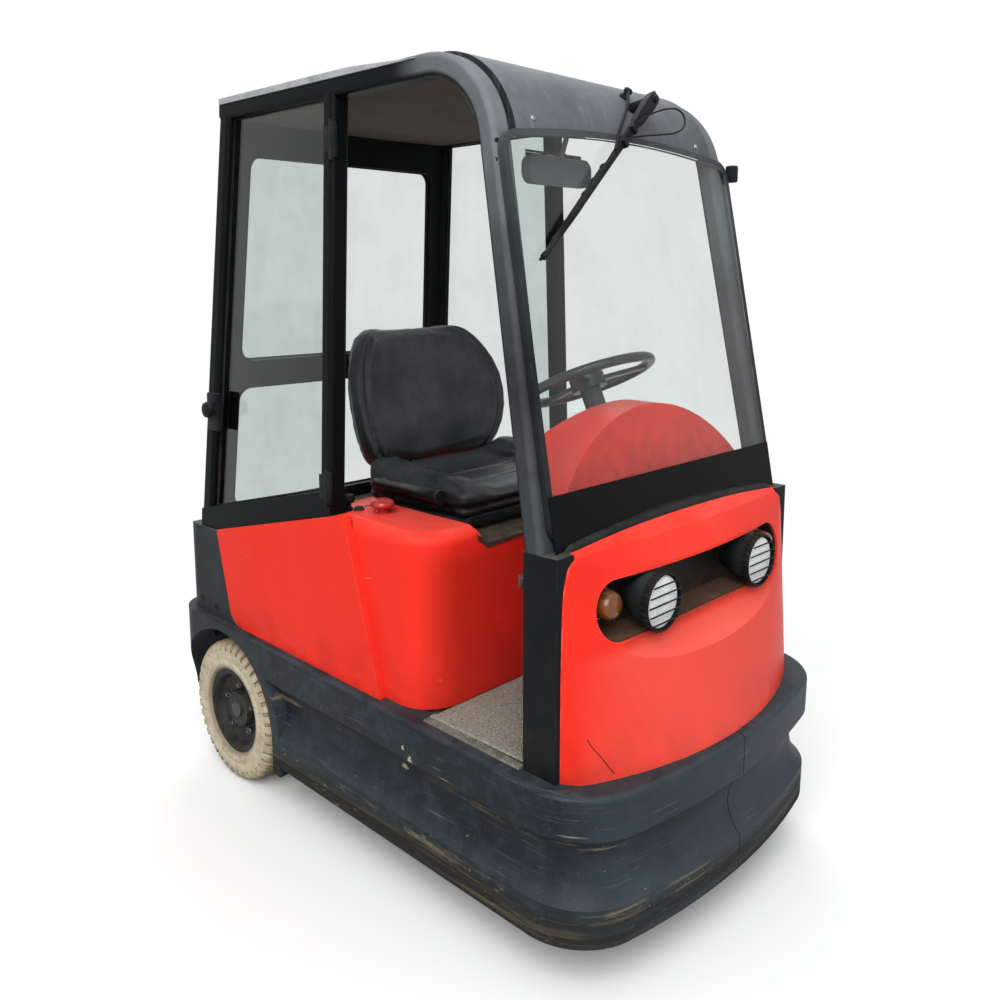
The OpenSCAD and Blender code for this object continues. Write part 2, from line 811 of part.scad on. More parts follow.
// Posts below the windscreen pillars
module cowl_posts() {
    color(black) difference() {
        for (s = [-1, 1])
            translate([s > 0 ? cab_foot_in : -cab_foot_out, post_front_y, deck_z - 20])
                cube([cab_foot_out - cab_foot_in, post_rear_y - post_front_y,
                    pillar_foot[1] - deck_z + 20 - seat_gap]);
        below_bumper_top();
    }
}

// Dash and controls

module dash_console() {
    color(red) difference() {
        union() {
            translate([seat_gap - cab_foot_in, bulkhead_y, deck_z])
                cube([2 * (cab_foot_in - seat_gap), bulkhead_t, pillar_foot[1] - deck_z]);
            translate([-tunnel_half_w, bulkhead_y, deck_z])
                cube([2 * tunnel_half_w, tunnel_rear_y - bulkhead_y, pillar_foot[1] - deck_z - 54]);
            intersection() {
                across(-dash_half_w, dash_half_w) translate([bulkhead_y, 0])
                    polygon([[0, dash_low_z], [0, pillar_foot[1]],
                    [64, dome_z], [155, dome_z], [dash_d - 2, dome_z - 140], [dash_d, dome_z - 220],
                    [dash_d - 50, dash_low_z + 60], [dash_d - 110, dash_low_z]]);
                translate([0, bulkhead_y + 2 * dash_d, dome_z - dome_r]) rotate([90, 0, 0])
                    cylinder(r = dome_r, h = 3 * dash_d);
                translate([0, bulkhead_y, 0]) linear_extrude(2 * dome_z)
                    polygon([[-dash_half_w, -1], [dash_half_w, -1],
                    [dash_half_w, dash_side_d], [dash_core_w, dash_d], [-dash_core_w, dash_d],
                        [-dash_half_w, dash_side_d]]);
            }
        }
        translate([0, front_axle_y, deck_z - 10])
            cylinder(r = boss_r + seat_gap, h = boss_h + 10 + seat_gap);
        on_column() translate([0, 0, -column_len]) cylinder(r = column_r + seat_gap, h = 2 * column_len);
    }
}

// Places what is drawn along +Z on the steering column's axis, with the wheel's middle at the origin
module on_column() {
    translate(wheel_hub) rotate([-column_tilt, 0, 0]) children();
}

module steering_column() {
    color(black) on_column() translate([0, 0, -column_len]) cylinder(r = column_r, h = column_len - 22);
}

module steering_wheel() {
    color(black) on_column() {
        rotate_extrude() translate([steering_wheel_r - rim_grip_r, 0]) circle(rim_grip_r);
        translate([0, 0, -22 + seat_gap]) cylinder(r = 44, h = 34);
        for (a = [90, 210, 330])
            rotate([0, 0, a]) translate([30, -14, -8]) cube([steering_wheel_r - rim_grip_r - 34, 28, 10]);
    }
}

// Brake and accelerator pedals on their hinge blocks
module pedals() {
    color(black) for (x = [-1, 0])
        translate([x * pedal_pitch - tunnel_half_w - pedal_w - pedal_gap, bulkhead_y + bulkhead_t,
            deck_z + mat_t]) {
            translate([4, 60, 0]) cube([pedal_w - 8, 30, 14]);
            translate([0, 66, 14]) rotate([-pedal_tilt, 0, 0]) cube([pedal_w, 10, pedal_len]);
        }
}

// Steered fork: kingpin, crown, two arms and the wheel's axle pin
module steer_fork() {
    crown_z = deck_z - deck_t - boss_flange_t - seat_gap;
    color(black) translate([0, front_axle_y, 0]) {
        translate([0, 0, crown_z - 1]) cylinder(r = kingpin_r, h = deck_t + boss_flange_t + boss_h - 10);
        translate([0, 0, crown_z - crown_t]) cylinder(r = boss_flange_r - 3, h = crown_t);
        for (s = [-1, 1]) {
            translate([s * (fork_arm_x + fork_arm_t / 2) - fork_arm_t / 2, -fork_arm_w / 2, wheel_r])
                cube([fork_arm_t, fork_arm_w, crown_z - wheel_r - 2]);
            translate([s * (fork_arm_x + fork_arm_t / 2) - fork_arm_t / 2, 0, wheel_r]) rotate([0, 90, 0])
                cylinder(r = fork_arm_w / 2, h = fork_arm_t);
        }
        translate([-fork_arm_x - fork_arm_t - 12, 0, wheel_r]) rotate([0, 90, 0])
            cylinder(r = front_axle_r, h = 2 * (fork_arm_x + fork_arm_t + 12));
    }
}

// Seat

// Bellows over the slides, a bracket up the seat back and the slide lever on the right
module seat_frame() {
    layer_h = (cushion_low_z - seat_floor_z - seat_gap) / bellows_layers;
    plate_h = cushion_low_z - 1 - bracket_low_z;
    color(black) {
        for (i = [0:bellows_layers - 1])
            translate([0, (cushion_front_y + cushion_rear_y) / 2, seat_floor_z + i * layer_h])
                linear_extrude(layer_h)
                round_rect(bellows_w - (i % 2) * 16, cushion_len - 40 - (i % 2) * 16, 30);
        translate([-bracket_w / 2, cushion_rear_y - 60, bracket_low_z])
            cube([bracket_w, seat_back_y + seat_back_t - cushion_rear_y + 62, plate_h]);
        in_seat_back() translate([-bracket_w / 2, seat_back_t + seat_gap, -70])
            cube([bracket_w, 10, bracket_h]);
        translate([-seat_half_w - seat_gap - link_t, lever_y - link_w / 2, bracket_low_z])
            cube([link_t, link_w, lever_z + 16 - bracket_low_z]);
        translate([-seat_half_w - seat_gap - 1, lever_y - link_w / 2, bracket_low_z])
            cube([seat_half_w + seat_gap + 61 - bellows_w / 2, link_w, plate_h]);
        translate([-seat_half_w - lever_x, lever_y + 8, lever_z]) rotate([90, 0, 0])
            cylinder(r1 = 11, r2 = lever_r, h = lever_len);
        translate([-seat_half_w - lever_x, lever_y, lever_z]) rotate([0, 90, 0])
            cylinder(r = 8, h = lever_x - 2);
    }
}

// Cushion: dished across, rolled over at the front edge
module seat_cushion() {
    h = cushion_top_z - cushion_low_z;
    dish_r = (seat_half_w * seat_half_w + cushion_dish * cushion_dish) / (2 * cushion_dish);
    color(black) intersection() {
        across(-seat_half_w, seat_half_w)
            translate([(cushion_front_y + cushion_rear_y) / 2, cushion_low_z + h / 2 - cushion_roll / 2])
            round_rect(cushion_len, h + cushion_roll, cushion_roll);
        along(cushion_front_y - 1, cushion_rear_y + 1) translate([0, cushion_low_z + h / 2]) difference() {
            round_rect(2 * seat_half_w, h, cushion_side_r);
            translate([0, h / 2 - cushion_dish + dish_r]) circle(dish_r);
        }
    }
}

// Draws in the leaning frame of the seat back
module in_seat_back() {
    translate([0, seat_back_y, seat_back_low_z]) rotate([-seat_lean, 0, 0]) children();
}

// Share of the seat back's half width at a share of its height
back_shape = [[0, 0.70], [0.05, 0.80], [0.12, 0.88], [0.22, 0.95], [0.34, 0.99], [0.45, 1], [0.58, 0.985],
    [0.7, 0.94],
    [0.8, 0.875], [0.88, 0.80], [0.94, 0.72], [0.98, 0.63], [1, 0.54]];

module seat_back_outline(h) {
    right = [for (row = back_shape) [seat_back_half_w * row[1], h * row[0]]];
    polygon(concat(right, [for (i = [len(right) - 1:-1:0]) [-right[i][0], right[i][1]]]));
}

// Seat back: wrapped round the driver, leaning back
module seat_back() {
    h = seat_back_top_z - seat_back_low_z;
    color(black) in_seat_back() intersection() {
        translate([0, -seat_wrap_r, 0]) rotate([0, 0, 90 - seat_wrap]) rotate_extrude(angle = 2 * seat_wrap)
            translate([seat_wrap_r + seat_back_t / 2, h / 2])
                round_rect(seat_back_t, h, seat_back_t * 0.36);
        along(-seat_wrap_r, seat_back_t + 1) translate([0, -panel_gap])
            seat_back_outline(h + 2 * panel_gap);
    }
}

// Emergency stop on the right console
module stop_button() {
    color("crimson") translate([stop_x, stop_y, hood_top_z]) {
        cylinder(r = 0.6 * stop_r, h = stop_h);
        translate([0, 0, stop_h]) cylinder(r = stop_r, h = 9);
        translate([0, 0, stop_h + 9]) cylinder(r1 = stop_r, r2 = 0.65 * stop_r, h = 7);
    }
}

// Cab

// Draws in the leaning plane of the cab's side: outer face at x = 0, height counted from the ground
module in_side_plane(side) {
    on_side(side) translate([cab_half_w, 0, cab_base_z]) rotate([0, -tumblehome, 0])
        translate([0, 0, -cab_base_z]) children();
}

module rail_section(w, d) {
    round_rect(w, d, 13);
}

// Hoop of one side: front pillar, bend and roof rail
module hoop() {
    len = bend_low[1] - pillar_foot[1];
    translate([-pillar_w / 2, pillar_foot[0], pillar_foot[1]]) rotate([-pillar_rake, 0, 0])
        translate([0, 0, -30]) linear_extrude(len / cos(pillar_rake) + 31)
            rail_section(pillar_w - 2 * hair, pillar_d - 2 * hair);
    translate([-pillar_w / 2, bend_mid[0], bend_mid[1]]) rotate([0, 90, 0]) rotate([0, 0, 180])
        rotate_extrude(angle = 90 - pillar_rake) translate([hoop_r, 0]) rail_section(pillar_d, pillar_w);
    translate([-pillar_w / 2, rail_rear_y, rail_z]) rotate([90, 0, 0])
        linear_extrude(rail_rear_y - bend_mid[0]) rail_section(pillar_w, pillar_d);
}

// Door post, rear pillar and the sloping rail under the quarter window
module quarter_frame() {
    translate([-pillar_w / 2, door_post_y, post_foot_z - 30]) linear_extrude(rail_z - post_foot_z + 30)
        rail_section(pillar_w, post_d);
    translate([-pillar_w / 2, rear_pillar_low_y - pillar_d / 2, cab_base_z]) rotate([rear_rake, 0, 0])
        translate([0, 0, -40]) linear_extrude(rail_z - cab_base_z + 40) rail_section(pillar_w, pillar_d);
    across(-pillar_w, 0) polygon([[door_post_y - post_d / 2, post_foot_z - 40],
        [rear_pillar_low_y, rear_deck_z - 40],
        [rear_pillar_low_y - 4, sill_top(rear_pillar_low_y)],
            [door_post_y - post_d / 2, sill_top(door_post_y)]]);
}

function sill_top(y) = shoulder_z(y) + sill_h;

// Trims the cab's feet to the body below
module below_shoulder() {
    across(-overall_w, overall_w) polygon([[-overall_len, 0], [-overall_len, pillar_foot[1]],
        [post_rear_y + 100, pillar_foot[1]],
        [door_post_y - 200, shoulder_z(post_edge_y)], [post_edge_y, shoulder_z(post_edge_y)],
        [rear_body_front_y, rear_deck_z], [overall_len, rear_deck_z], [overall_len, 0]]);
}

module cab_side(side) {
    color(slate) difference() {
        in_side_plane(side) {
            hoop();
            quarter_frame();
        }
        below_shoulder();
    }
}

module cab_side_right() {
    cab_side(-1);
}

module cab_side_left() {
    cab_side(1);
}

// Opening of the quarter window, as [y, z]
module quarter_outline() {
    polygon([[door_post_y + post_d / 2, sill_top(door_post_y + post_d / 2)],
        [quarter_low_y, sill_top(quarter_low_y)],
        [rear_front_edge(rail_z - pillar_d / 2), rail_z - pillar_d / 2],
        [door_post_y + post_d / 2, rail_z - pillar_d / 2]]);
}

function rear_front_edge(z) = rear_pillar_low_y - pillar_d / 2 - tan(rear_rake) * (z - cab_base_z) - pillar_d / 2 / cos(rear_rake);

quarter_low_y = rear_front_edge(sill_top(rear_pillar_low_y - pillar_d));

module quarter_glass(side) {
    color("lightblue", 0.4) in_side_plane(side)
        across(-pillar_w / 2 - glass_t / 2, -pillar_w / 2 + glass_t / 2)
        offset(delta = -seat_gap) quarter_outline();
}

module quarter_glass_right() {
    quarter_glass(-1);
}

module quarter_glass_left() {
    quarter_glass(1);
}

// Draws in the raked plane of the rear wall: [x, height] with its outer face at y = 0
module in_rear_plane() {
    translate([0, rear_pillar_low_y, cab_base_z]) rotate([rear_rake, 0, 0]) translate([0, 0, -cab_base_z])
        children();
}

function rear_half_w(z) = cab_half_w - pillar_w - seat_gap - tan(tumblehome) * (z - cab_base_z);

module rear_window(i, grow = 0) {
    z0 = rear_windows[i][0] - grow;
    z1 = rear_windows[i][1] + grow;
    b = 34 - grow;
    along(-200, 200) offset(r = 40, $fn = 32) offset(delta = -40)
        polygon([[-rear_half_w(z0) + b, z0], [rear_half_w(z0) - b, z0], [rear_half_w(z1) - b, z1],
            [-rear_half_w(z1) + b, z1]]);
}

module rear_wall() {
    top = rail_z + 10;
    color(slate) difference() {
        in_rear_plane() difference() {
            along(-rear_wall_t, -2) polygon([[-rear_half_w(700), 700], [rear_half_w(700), 700],
                [rear_half_w(top), top], [-rear_half_w(top), top]]);
            for (i = [0, 1])
                rear_window(i);
        }
        below_shoulder();
    }
}

module rear_glass() {
    color("lightblue", 0.4) in_rear_plane() for (i = [0, 1])
        intersection() {
            rear_window(i, -seat_gap);
            translate([-overall_w, -rear_wall_t / 2 - glass_t / 2, 0])
                cube([2 * overall_w, glass_t, 2 * overall_w]);
        }
}

// Roof moulding between the two hoops, bent down at the front as a visor
module roof() {
    top = hoop_r + pillar_d / 2 + roof_proud;
    half = cab_half_w - pillar_w - tan(tumblehome) * (rail_top_z - 13 - cab_base_z) - seat_gap;
    color(slate) difference() {
        across(-half, half) {
            difference() {
                intersection() {
                    translate(bend_mid) circle(top);
                    translate(bend_mid) polygon([[0, 0], [0, 2 * top], [-2 * top, 2 * top],
                        [-2 * top, 2 * top * tan(pillar_rake)]]);
                }
                translate(bend_mid) circle(top - roof_t);
            }
            translate([bend_mid[0], bend_mid[1] + top - roof_t])
                square([rail_rear_y - rear_wall_t - bend_mid[0] - 10, roof_t]);
        }
        in_screen_plane() along(-80, 80) screen_outline(-panel_gap);
        for (x = [-1, 0, 1])
            translate([x * half * 0.55 - 70, bend_mid[0] + 60, rail_top_z + roof_proud - 5])
                cube([140, rail_rear_y - bend_mid[0] - 170, 20]);
    }
}

// Draws in the raked plane of the windscreen: [x, distance up the glass], inner face at y = 0, +y to the rear
module in_screen_plane() {
    translate([0, pillar_foot[0] - pillar_d / 2 / cos(pillar_rake) - 0.5, pillar_foot[1]])
        rotate([-pillar_rake, 0, 0]) children();
}

// Outline of the screen: straight sides, top and bottom bowed upwards
module screen_outline(inset) {
    n = 16;
    offset(r = 46 - inset, $fn = 40) offset(delta = -46) polygon(concat(
        [for (i = [0:n]) let (t = 2 * i / n - 1) [t * screen_low_w,
            screen_low_v + screen_bow * (1 - t * t)]],
        [for (i = [0:n]) let (t = 1 - 2 * i / n) [t * screen_top_w,
            screen_top_v + screen_bow * (1 - t * t)]]));
}

module windscreen_frame() {
    color(black) in_screen_plane() along(-screen_frame_t, 0) difference() {
        screen_outline(0);
        screen_outline(screen_frame_w);
    }
}

module windscreen() {
    color("lightblue", 0.4) in_screen_plane() along(-screen_frame_t, -screen_frame_t + glass_t)
        screen_outline(screen_frame_w + seat_gap);
}

// Wiper: motor cover on the visor, cranked arm and blade lying on the glass
module wiper() {
    color(black) difference() {
        in_screen_plane() {
            translate([wiper_pivot[0], wiper_root, wiper_pivot[1]]) rotate([90, 0, 0])
                cylinder(r = 16, h = wiper_root + screen_frame_t + 28);
            translate([wiper_pivot[0], -screen_frame_t - 17, wiper_pivot[1]]) rotate([0, wiper_angle, 0])
                translate([-6, -6, 0]) cube([12, 6, wiper_arm]);
            translate([wiper_pivot[0], -screen_frame_t - 17, wiper_pivot[1]]) rotate([0, wiper_angle, 0])
                translate([-5, 0, wiper_blade_start]) cube([10, 17 - seat_gap, wiper_blade]);
        }
        in_bend(hoop_r + pillar_d / 2 + roof_proud + seat_gap);
    }
}

// Cylinder across the cab, concentric with the bend of the hoops
module in_bend(r) {
    translate([-overall_w, bend_mid[0], bend_mid[1]]) rotate([0, 90, 0]) cylinder(r = r, h = 2 * overall_w);
}

module cab_mirror() {
    color(black) translate([mirror_x, mirror_y, mirror_z]) {
        rotate([90, 0, 0]) linear_extrude(mirror_t) round_rect(mirror_w, mirror_h, mirror_h * 0.4);
    }
    color(black) intersection() {
        translate([mirror_x, mirror_y - mirror_t / 2, mirror_z]) rotate([20, 0, 0])
            cylinder(r = 6, h = 240);
        in_bend(hoop_r + pillar_d / 2 + roof_proud - roof_t - seat_gap);
    }
}

module rear_lamps() {
    color("firebrick") for (s = [-1, 1])
        translate([s * rear_lamp_x, body_rear_y - rear_inset, rear_lamp_z]) rotate([-90, 0, 0])
            linear_extrude(rear_lamp_t)
            round_rect(rear_lamp_w, rear_lamp_h, rear_lamp_r);
}

// Wheels

// Solid tyre, its middle at the origin and its axle along X
module tyre() {
    r0 = rim_d / 2;
    w = tyre_w / 2;
    sh = 20;
    color(rubber_tan) rotate([0, 90, 0]) rotate_extrude() difference() {
        union() {
            translate([r0, -w + 8]) square([wheel_r - sh - r0, tyre_w - 16]);
            translate([r0 + 14, -w]) square([wheel_r - sh - r0 - 14, tyre_w]);
            translate([r0 + 14, -w + sh]) square([wheel_r - r0 - 14, tyre_w - 2 * sh]);
            for (s = [-1, 1]) {
                translate([wheel_r - sh, s * (w - sh)]) circle(sh);
                translate([r0 + 14, s * (w - 8)]) circle(8);
            }
        }
    }
}

// Dished rim, outer side towards +X
module rim(bore_r) {
    r = rim_d / 2 - seat_gap;
    w = tyre_w / 2 - 10;
    color("#3a3d40") rotate([0, 90, 0]) rotate_extrude() polygon([
        [bore_r, -30], [bore_r + 34, -30], [bore_r + 40, -4], [r - 34, 6], [r - 20, -w], [r, -w], [r, w],
            [r - 10, w],
        [r - 18, w - 6], [r - 26, 24], [r - 40, 16], [bore_r + 36, 12], [bore_r + 28, 34], [bore_r, 34]]);
}

module at_rear_wheel(side) {
    translate([side * rear_track / 2, rear_axle_y, wheel_r]) on_side(side) children();
}

module tyre_rear_right() {
    at_rear_wheel(-1) tyre();
}

module rim_rear_right() {
    at_rear_wheel(-1) rim(stub_r + seat_gap);
}

module tyre_rear_left() {
    at_rear_wheel(1) tyre();
}

module rim_rear_left() {
    at_rear_wheel(1) rim(stub_r + seat_gap);
}

module tyre_front() {
    translate([0, front_axle_y, wheel_r]) tyre();
}

module rim_front() {
    translate([0, front_axle_y, wheel_r]) rim(front_axle_r + seat_gap);
}

chassis();
floor_mat();
bumper_right();
bumper_left();
rear_skirt();
rear_body();
side_panel_right();
side_panel_left();
seat_hood();
battery();
drive_axle();
tow_hitch();
hitch_pin();
front_cowl();
lamp_tray();
headlamps();
lamp_guards();
indicators();
cowl_posts();
dash_console();
pedals();
steering_column();
steering_wheel();
steer_fork();
seat_frame();
seat_cushion();
seat_back();
stop_button();
cab_side_right();
cab_side_left();
quarter_glass_right();
quarter_glass_left();
rear_wall();
rear_glass();
roof();
windscreen_frame();
windscreen();
wiper();
cab_mirror();
rear_lamps();
tyre_rear_right();
rim_rear_right();
tyre_rear_left();
rim_rear_left();
tyre_front();
rim_front();
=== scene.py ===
# %% [markdown]
# # An electric tow tractor, dressed over its solid frame
#
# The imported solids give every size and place. This lesson adds what a solid can't say: paint and rubber
# that have worked outdoors, padded vinyl, lamp glass, tread, seals and small hardware. Everything is in
# metres, the nose points along -Y and the driver's right-hand side is -X.

# %% Load the frame
import json
import math

import bmesh
import bpy
from mathutils import Matrix, Vector

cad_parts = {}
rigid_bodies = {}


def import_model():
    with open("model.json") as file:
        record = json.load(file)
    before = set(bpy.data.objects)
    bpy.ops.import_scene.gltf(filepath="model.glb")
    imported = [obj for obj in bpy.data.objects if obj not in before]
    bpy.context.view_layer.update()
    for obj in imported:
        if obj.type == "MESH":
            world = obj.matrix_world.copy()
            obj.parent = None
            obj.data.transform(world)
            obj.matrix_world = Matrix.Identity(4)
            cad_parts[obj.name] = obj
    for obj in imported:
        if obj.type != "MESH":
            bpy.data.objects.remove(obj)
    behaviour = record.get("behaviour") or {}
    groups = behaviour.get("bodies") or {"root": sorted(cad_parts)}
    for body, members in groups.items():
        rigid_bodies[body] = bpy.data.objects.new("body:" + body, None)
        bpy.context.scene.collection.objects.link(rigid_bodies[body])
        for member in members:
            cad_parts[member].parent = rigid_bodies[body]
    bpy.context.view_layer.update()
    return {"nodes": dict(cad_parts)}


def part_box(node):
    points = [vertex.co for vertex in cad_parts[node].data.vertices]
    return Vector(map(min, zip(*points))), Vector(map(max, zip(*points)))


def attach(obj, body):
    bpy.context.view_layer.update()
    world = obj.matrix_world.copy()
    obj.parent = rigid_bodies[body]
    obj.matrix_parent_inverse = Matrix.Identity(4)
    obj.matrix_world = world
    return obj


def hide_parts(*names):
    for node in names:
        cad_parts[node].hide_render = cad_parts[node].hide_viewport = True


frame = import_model()
NODES = frame["nodes"]

# %% [markdown]
# ## Camera
#
# The photograph was taken close to the front right-hand corner at chest height, with a fairly wide
# lens. Place, turn and focal length were solved from points that can be found both on the picture and
# on the solids, so the camera only needs those few numbers. A small shift stands for the crop.

# %% Place the camera
camera = bpy.data.objects.new("camera", bpy.data.cameras.new("camera"))
bpy.context.scene.collection.objects.link(camera)
camera.location = (-1.807, -1.894, 1.481)
camera.rotation_euler = (math.radians(81.816), 0.0, math.radians(-46.304))
camera.data.sensor_width = 36.0
camera.data.lens = 33.915
camera.data.shift_x = -0.01
camera.data.shift_y = -0.09
bpy.context.scene.camera = camera
print("camera lens", camera.data.lens, "mm")

# %% [markdown]
# ## One function for nodes, one for colours
#
# A shader tree is quicker to read when each node is one line. `add_node` makes a node, sets its
# properties and either sets or links its sockets. Colours are written as the sRGB hex values that a
# paint chart gives, and turned to linear light once. Patterns are sized in millimetres.

# %% Helpers for shader trees
def srgb(code):
    """Linear RGBA of an sRGB hex colour."""
    parts = [int(code[i:i + 2], 16) / 255 for i in (1, 3, 5)]
    return tuple(c / 12.92 if c <= 0.04045 else ((c + 0.055) / 1.055) ** 2.4 for c in parts) + (1.0,)


def per_mm(size):
    """Texture scale at which a pattern in metres repeats about every `size` millimetres."""
    return 1000.0 / size


def add_node(tree, kind, sockets=None, **properties):
    """Adds one node, sets its properties, and sets or links its sockets."""
    made = tree.nodes.new(kind)
    for name, value in properties.items():
        setattr(made, name, value)
    for name, value in (sockets or {}).items():
        if isinstance(value, bpy.types.NodeSocket):
            tree.links.new(value, made.inputs[name])
        else:
            made.inputs[name].default_value = value
    return made


# %% [markdown]
# ## Stage
#
# A yard on an overcast day gives wide soft light from above with hardly any shadow edge. The same light
# comes from a pale sky and one very large lamp over the nose, with a weaker one behind. The floor is a
# pale sheet that fades to the white of the background a few metres out, and keeps the soft shadow
# underneath. Yard ground throws little light back up, so bounced rays meet a darker sheet than the
# camera does.

# %% Sky, lamps and floor
FLOOR_HALF = 30.0
FADE_START, FADE_END = 1.1, 2.6


def shown_directly(tree):
    """1 for rays from the camera, a mirror or a pane, so that they all see the white backdrop."""
    path = add_node(tree, "ShaderNodeLightPath")
    seen = path.outputs["Is Camera Ray"]
    for name in ("Is Glossy Ray", "Is Transmission Ray"):
        seen = add_node(tree, "ShaderNodeMath", {0: seen, 1: path.outputs[name]},
                        operation="MAXIMUM").outputs[0]
    return seen


def build_sky():
    """Light that grows toward the zenith, behind a backdrop that looks plain white."""
    world = bpy.data.worlds.new("overcast_sky")
    bpy.context.scene.world = world
    world.use_nodes = True
    tree = world.node_tree
    tree.nodes.clear()
    height = add_node(tree, "ShaderNodeSeparateXYZ",
                      {0: add_node(tree, "ShaderNodeTexCoord").outputs["Generated"]})
    overhead = add_node(tree, "ShaderNodeMapRange",
                        {"Value": height.outputs["Z"], "From Min": -0.1, "From Max": 0.9, "To Min": 0.34,
                         "To Max": 0.95})
    lit = add_node(tree, "ShaderNodeBackground",
                   {"Color": srgb("#F1F4F8"), "Strength": overhead.outputs[0]})
    white = add_node(tree, "ShaderNodeBackground", {"Color": (1, 1, 1, 1), "Strength": 1.0})
    mix = add_node(tree, "ShaderNodeMixShader",
                   {0: shown_directly(tree), 1: lit.outputs[0], 2: white.outputs[0]})
    add_node(tree, "ShaderNodeOutputWorld", {"Surface": mix.outputs[0]})


def build_lamp(name, place, aim, size, watts):
    """One square area lamp, turned toward a point."""
    lamp = bpy.data.objects.new(name, bpy.data.lights.new(name, "AREA"))
    lamp.data.shape = "SQUARE"
    lamp.data.size = size
    lamp.data.energy = watts
    lamp.location = place
    lamp.rotation_euler = (Vector(aim) - Vector(place)).to_track_quat("-Z", "Y").to_euler()
    bpy.context.scene.collection.objects.link(lamp)


def build_floor():
    """A pale sheet that holds the shadow and fades to white a few metres out."""
    mesh = bpy.data.meshes.new("floor")
    corners = [(x * FLOOR_HALF, y * FLOOR_HALF, 0) for x, y in ((-1, -1), (1, -1), (1, 1), (-1, 1))]
    mesh.from_pydata(corners, [], [(0, 1, 2, 3)])
    floor = bpy.data.objects.new("floor", mesh)
    bpy.context.scene.collection.objects.link(floor)
    material = bpy.data.materials.new("pale_backdrop")
    material.use_nodes = True
    tree = material.node_tree
    tree.nodes.clear()
    place = add_node(tree, "ShaderNodeTexCoord").outputs["Object"]
    reach = add_node(tree, "ShaderNodeVectorMath", {0: place}, operation="LENGTH").outputs["Value"]
    fade = add_node(tree, "ShaderNodeMapRange",
                    {"Value": reach, "From Min": FADE_START, "From Max": FADE_END},
                    interpolation_type="SMOOTHSTEP").outputs["Result"]
    seen = add_node(tree, "ShaderNodeMath", {0: fade, 1: shown_directly(tree)},
                    operation="MULTIPLY").outputs[0]
    bounced = add_node(tree, "ShaderNodeLightPath").outputs["Is Diffuse Ray"]
    tone = add_node(tree, "ShaderNodeMix", {0: bounced, 6: srgb("#F2F2F0"), 7: srgb("#8E8D8A")},
                    data_type="RGBA")
    sheet = add_node(tree, "ShaderNodeBsdfDiffuse", {"Color": tone.outputs[2]})
    white = add_node(tree, "ShaderNodeEmission", {"Color": (1, 1, 1, 1), "Strength": 1.0})
    mix = add_node(tree, "ShaderNodeMixShader", {0: seen, 1: sheet.outputs[0], 2: white.outputs[0]})
    add_node(tree, "ShaderNodeOutputMaterial", {"Surface": mix.outputs[0]})
    mesh.materials.append(material)


build_sky()
build_lamp("cloud_over_nose", (-4.2, -3.2, 4.6), (0, 0, 0.8), 5.0, 430)
build_lamp("open_sky_behind", (3.2, 3.4, 4.6), (0, 0, 1.0), 4.0, 110)
build_floor()
bpy.context.scene.view_settings.view_transform = "Standard"
print("stage ready")

# %% [markdown]
# ## Finishes in layers
#
# Paint, rubber and vinyl all age the same way: an even colour, a slow mottle in it, then masks where
# dust settles, where edges rub through and where something scraped past. `Finish` keeps one Principled
# shader and lays such layers on its colour, roughness and relief, then links the result.

# %% The layer tool
NOISE_ROUGHNESS = 0.62


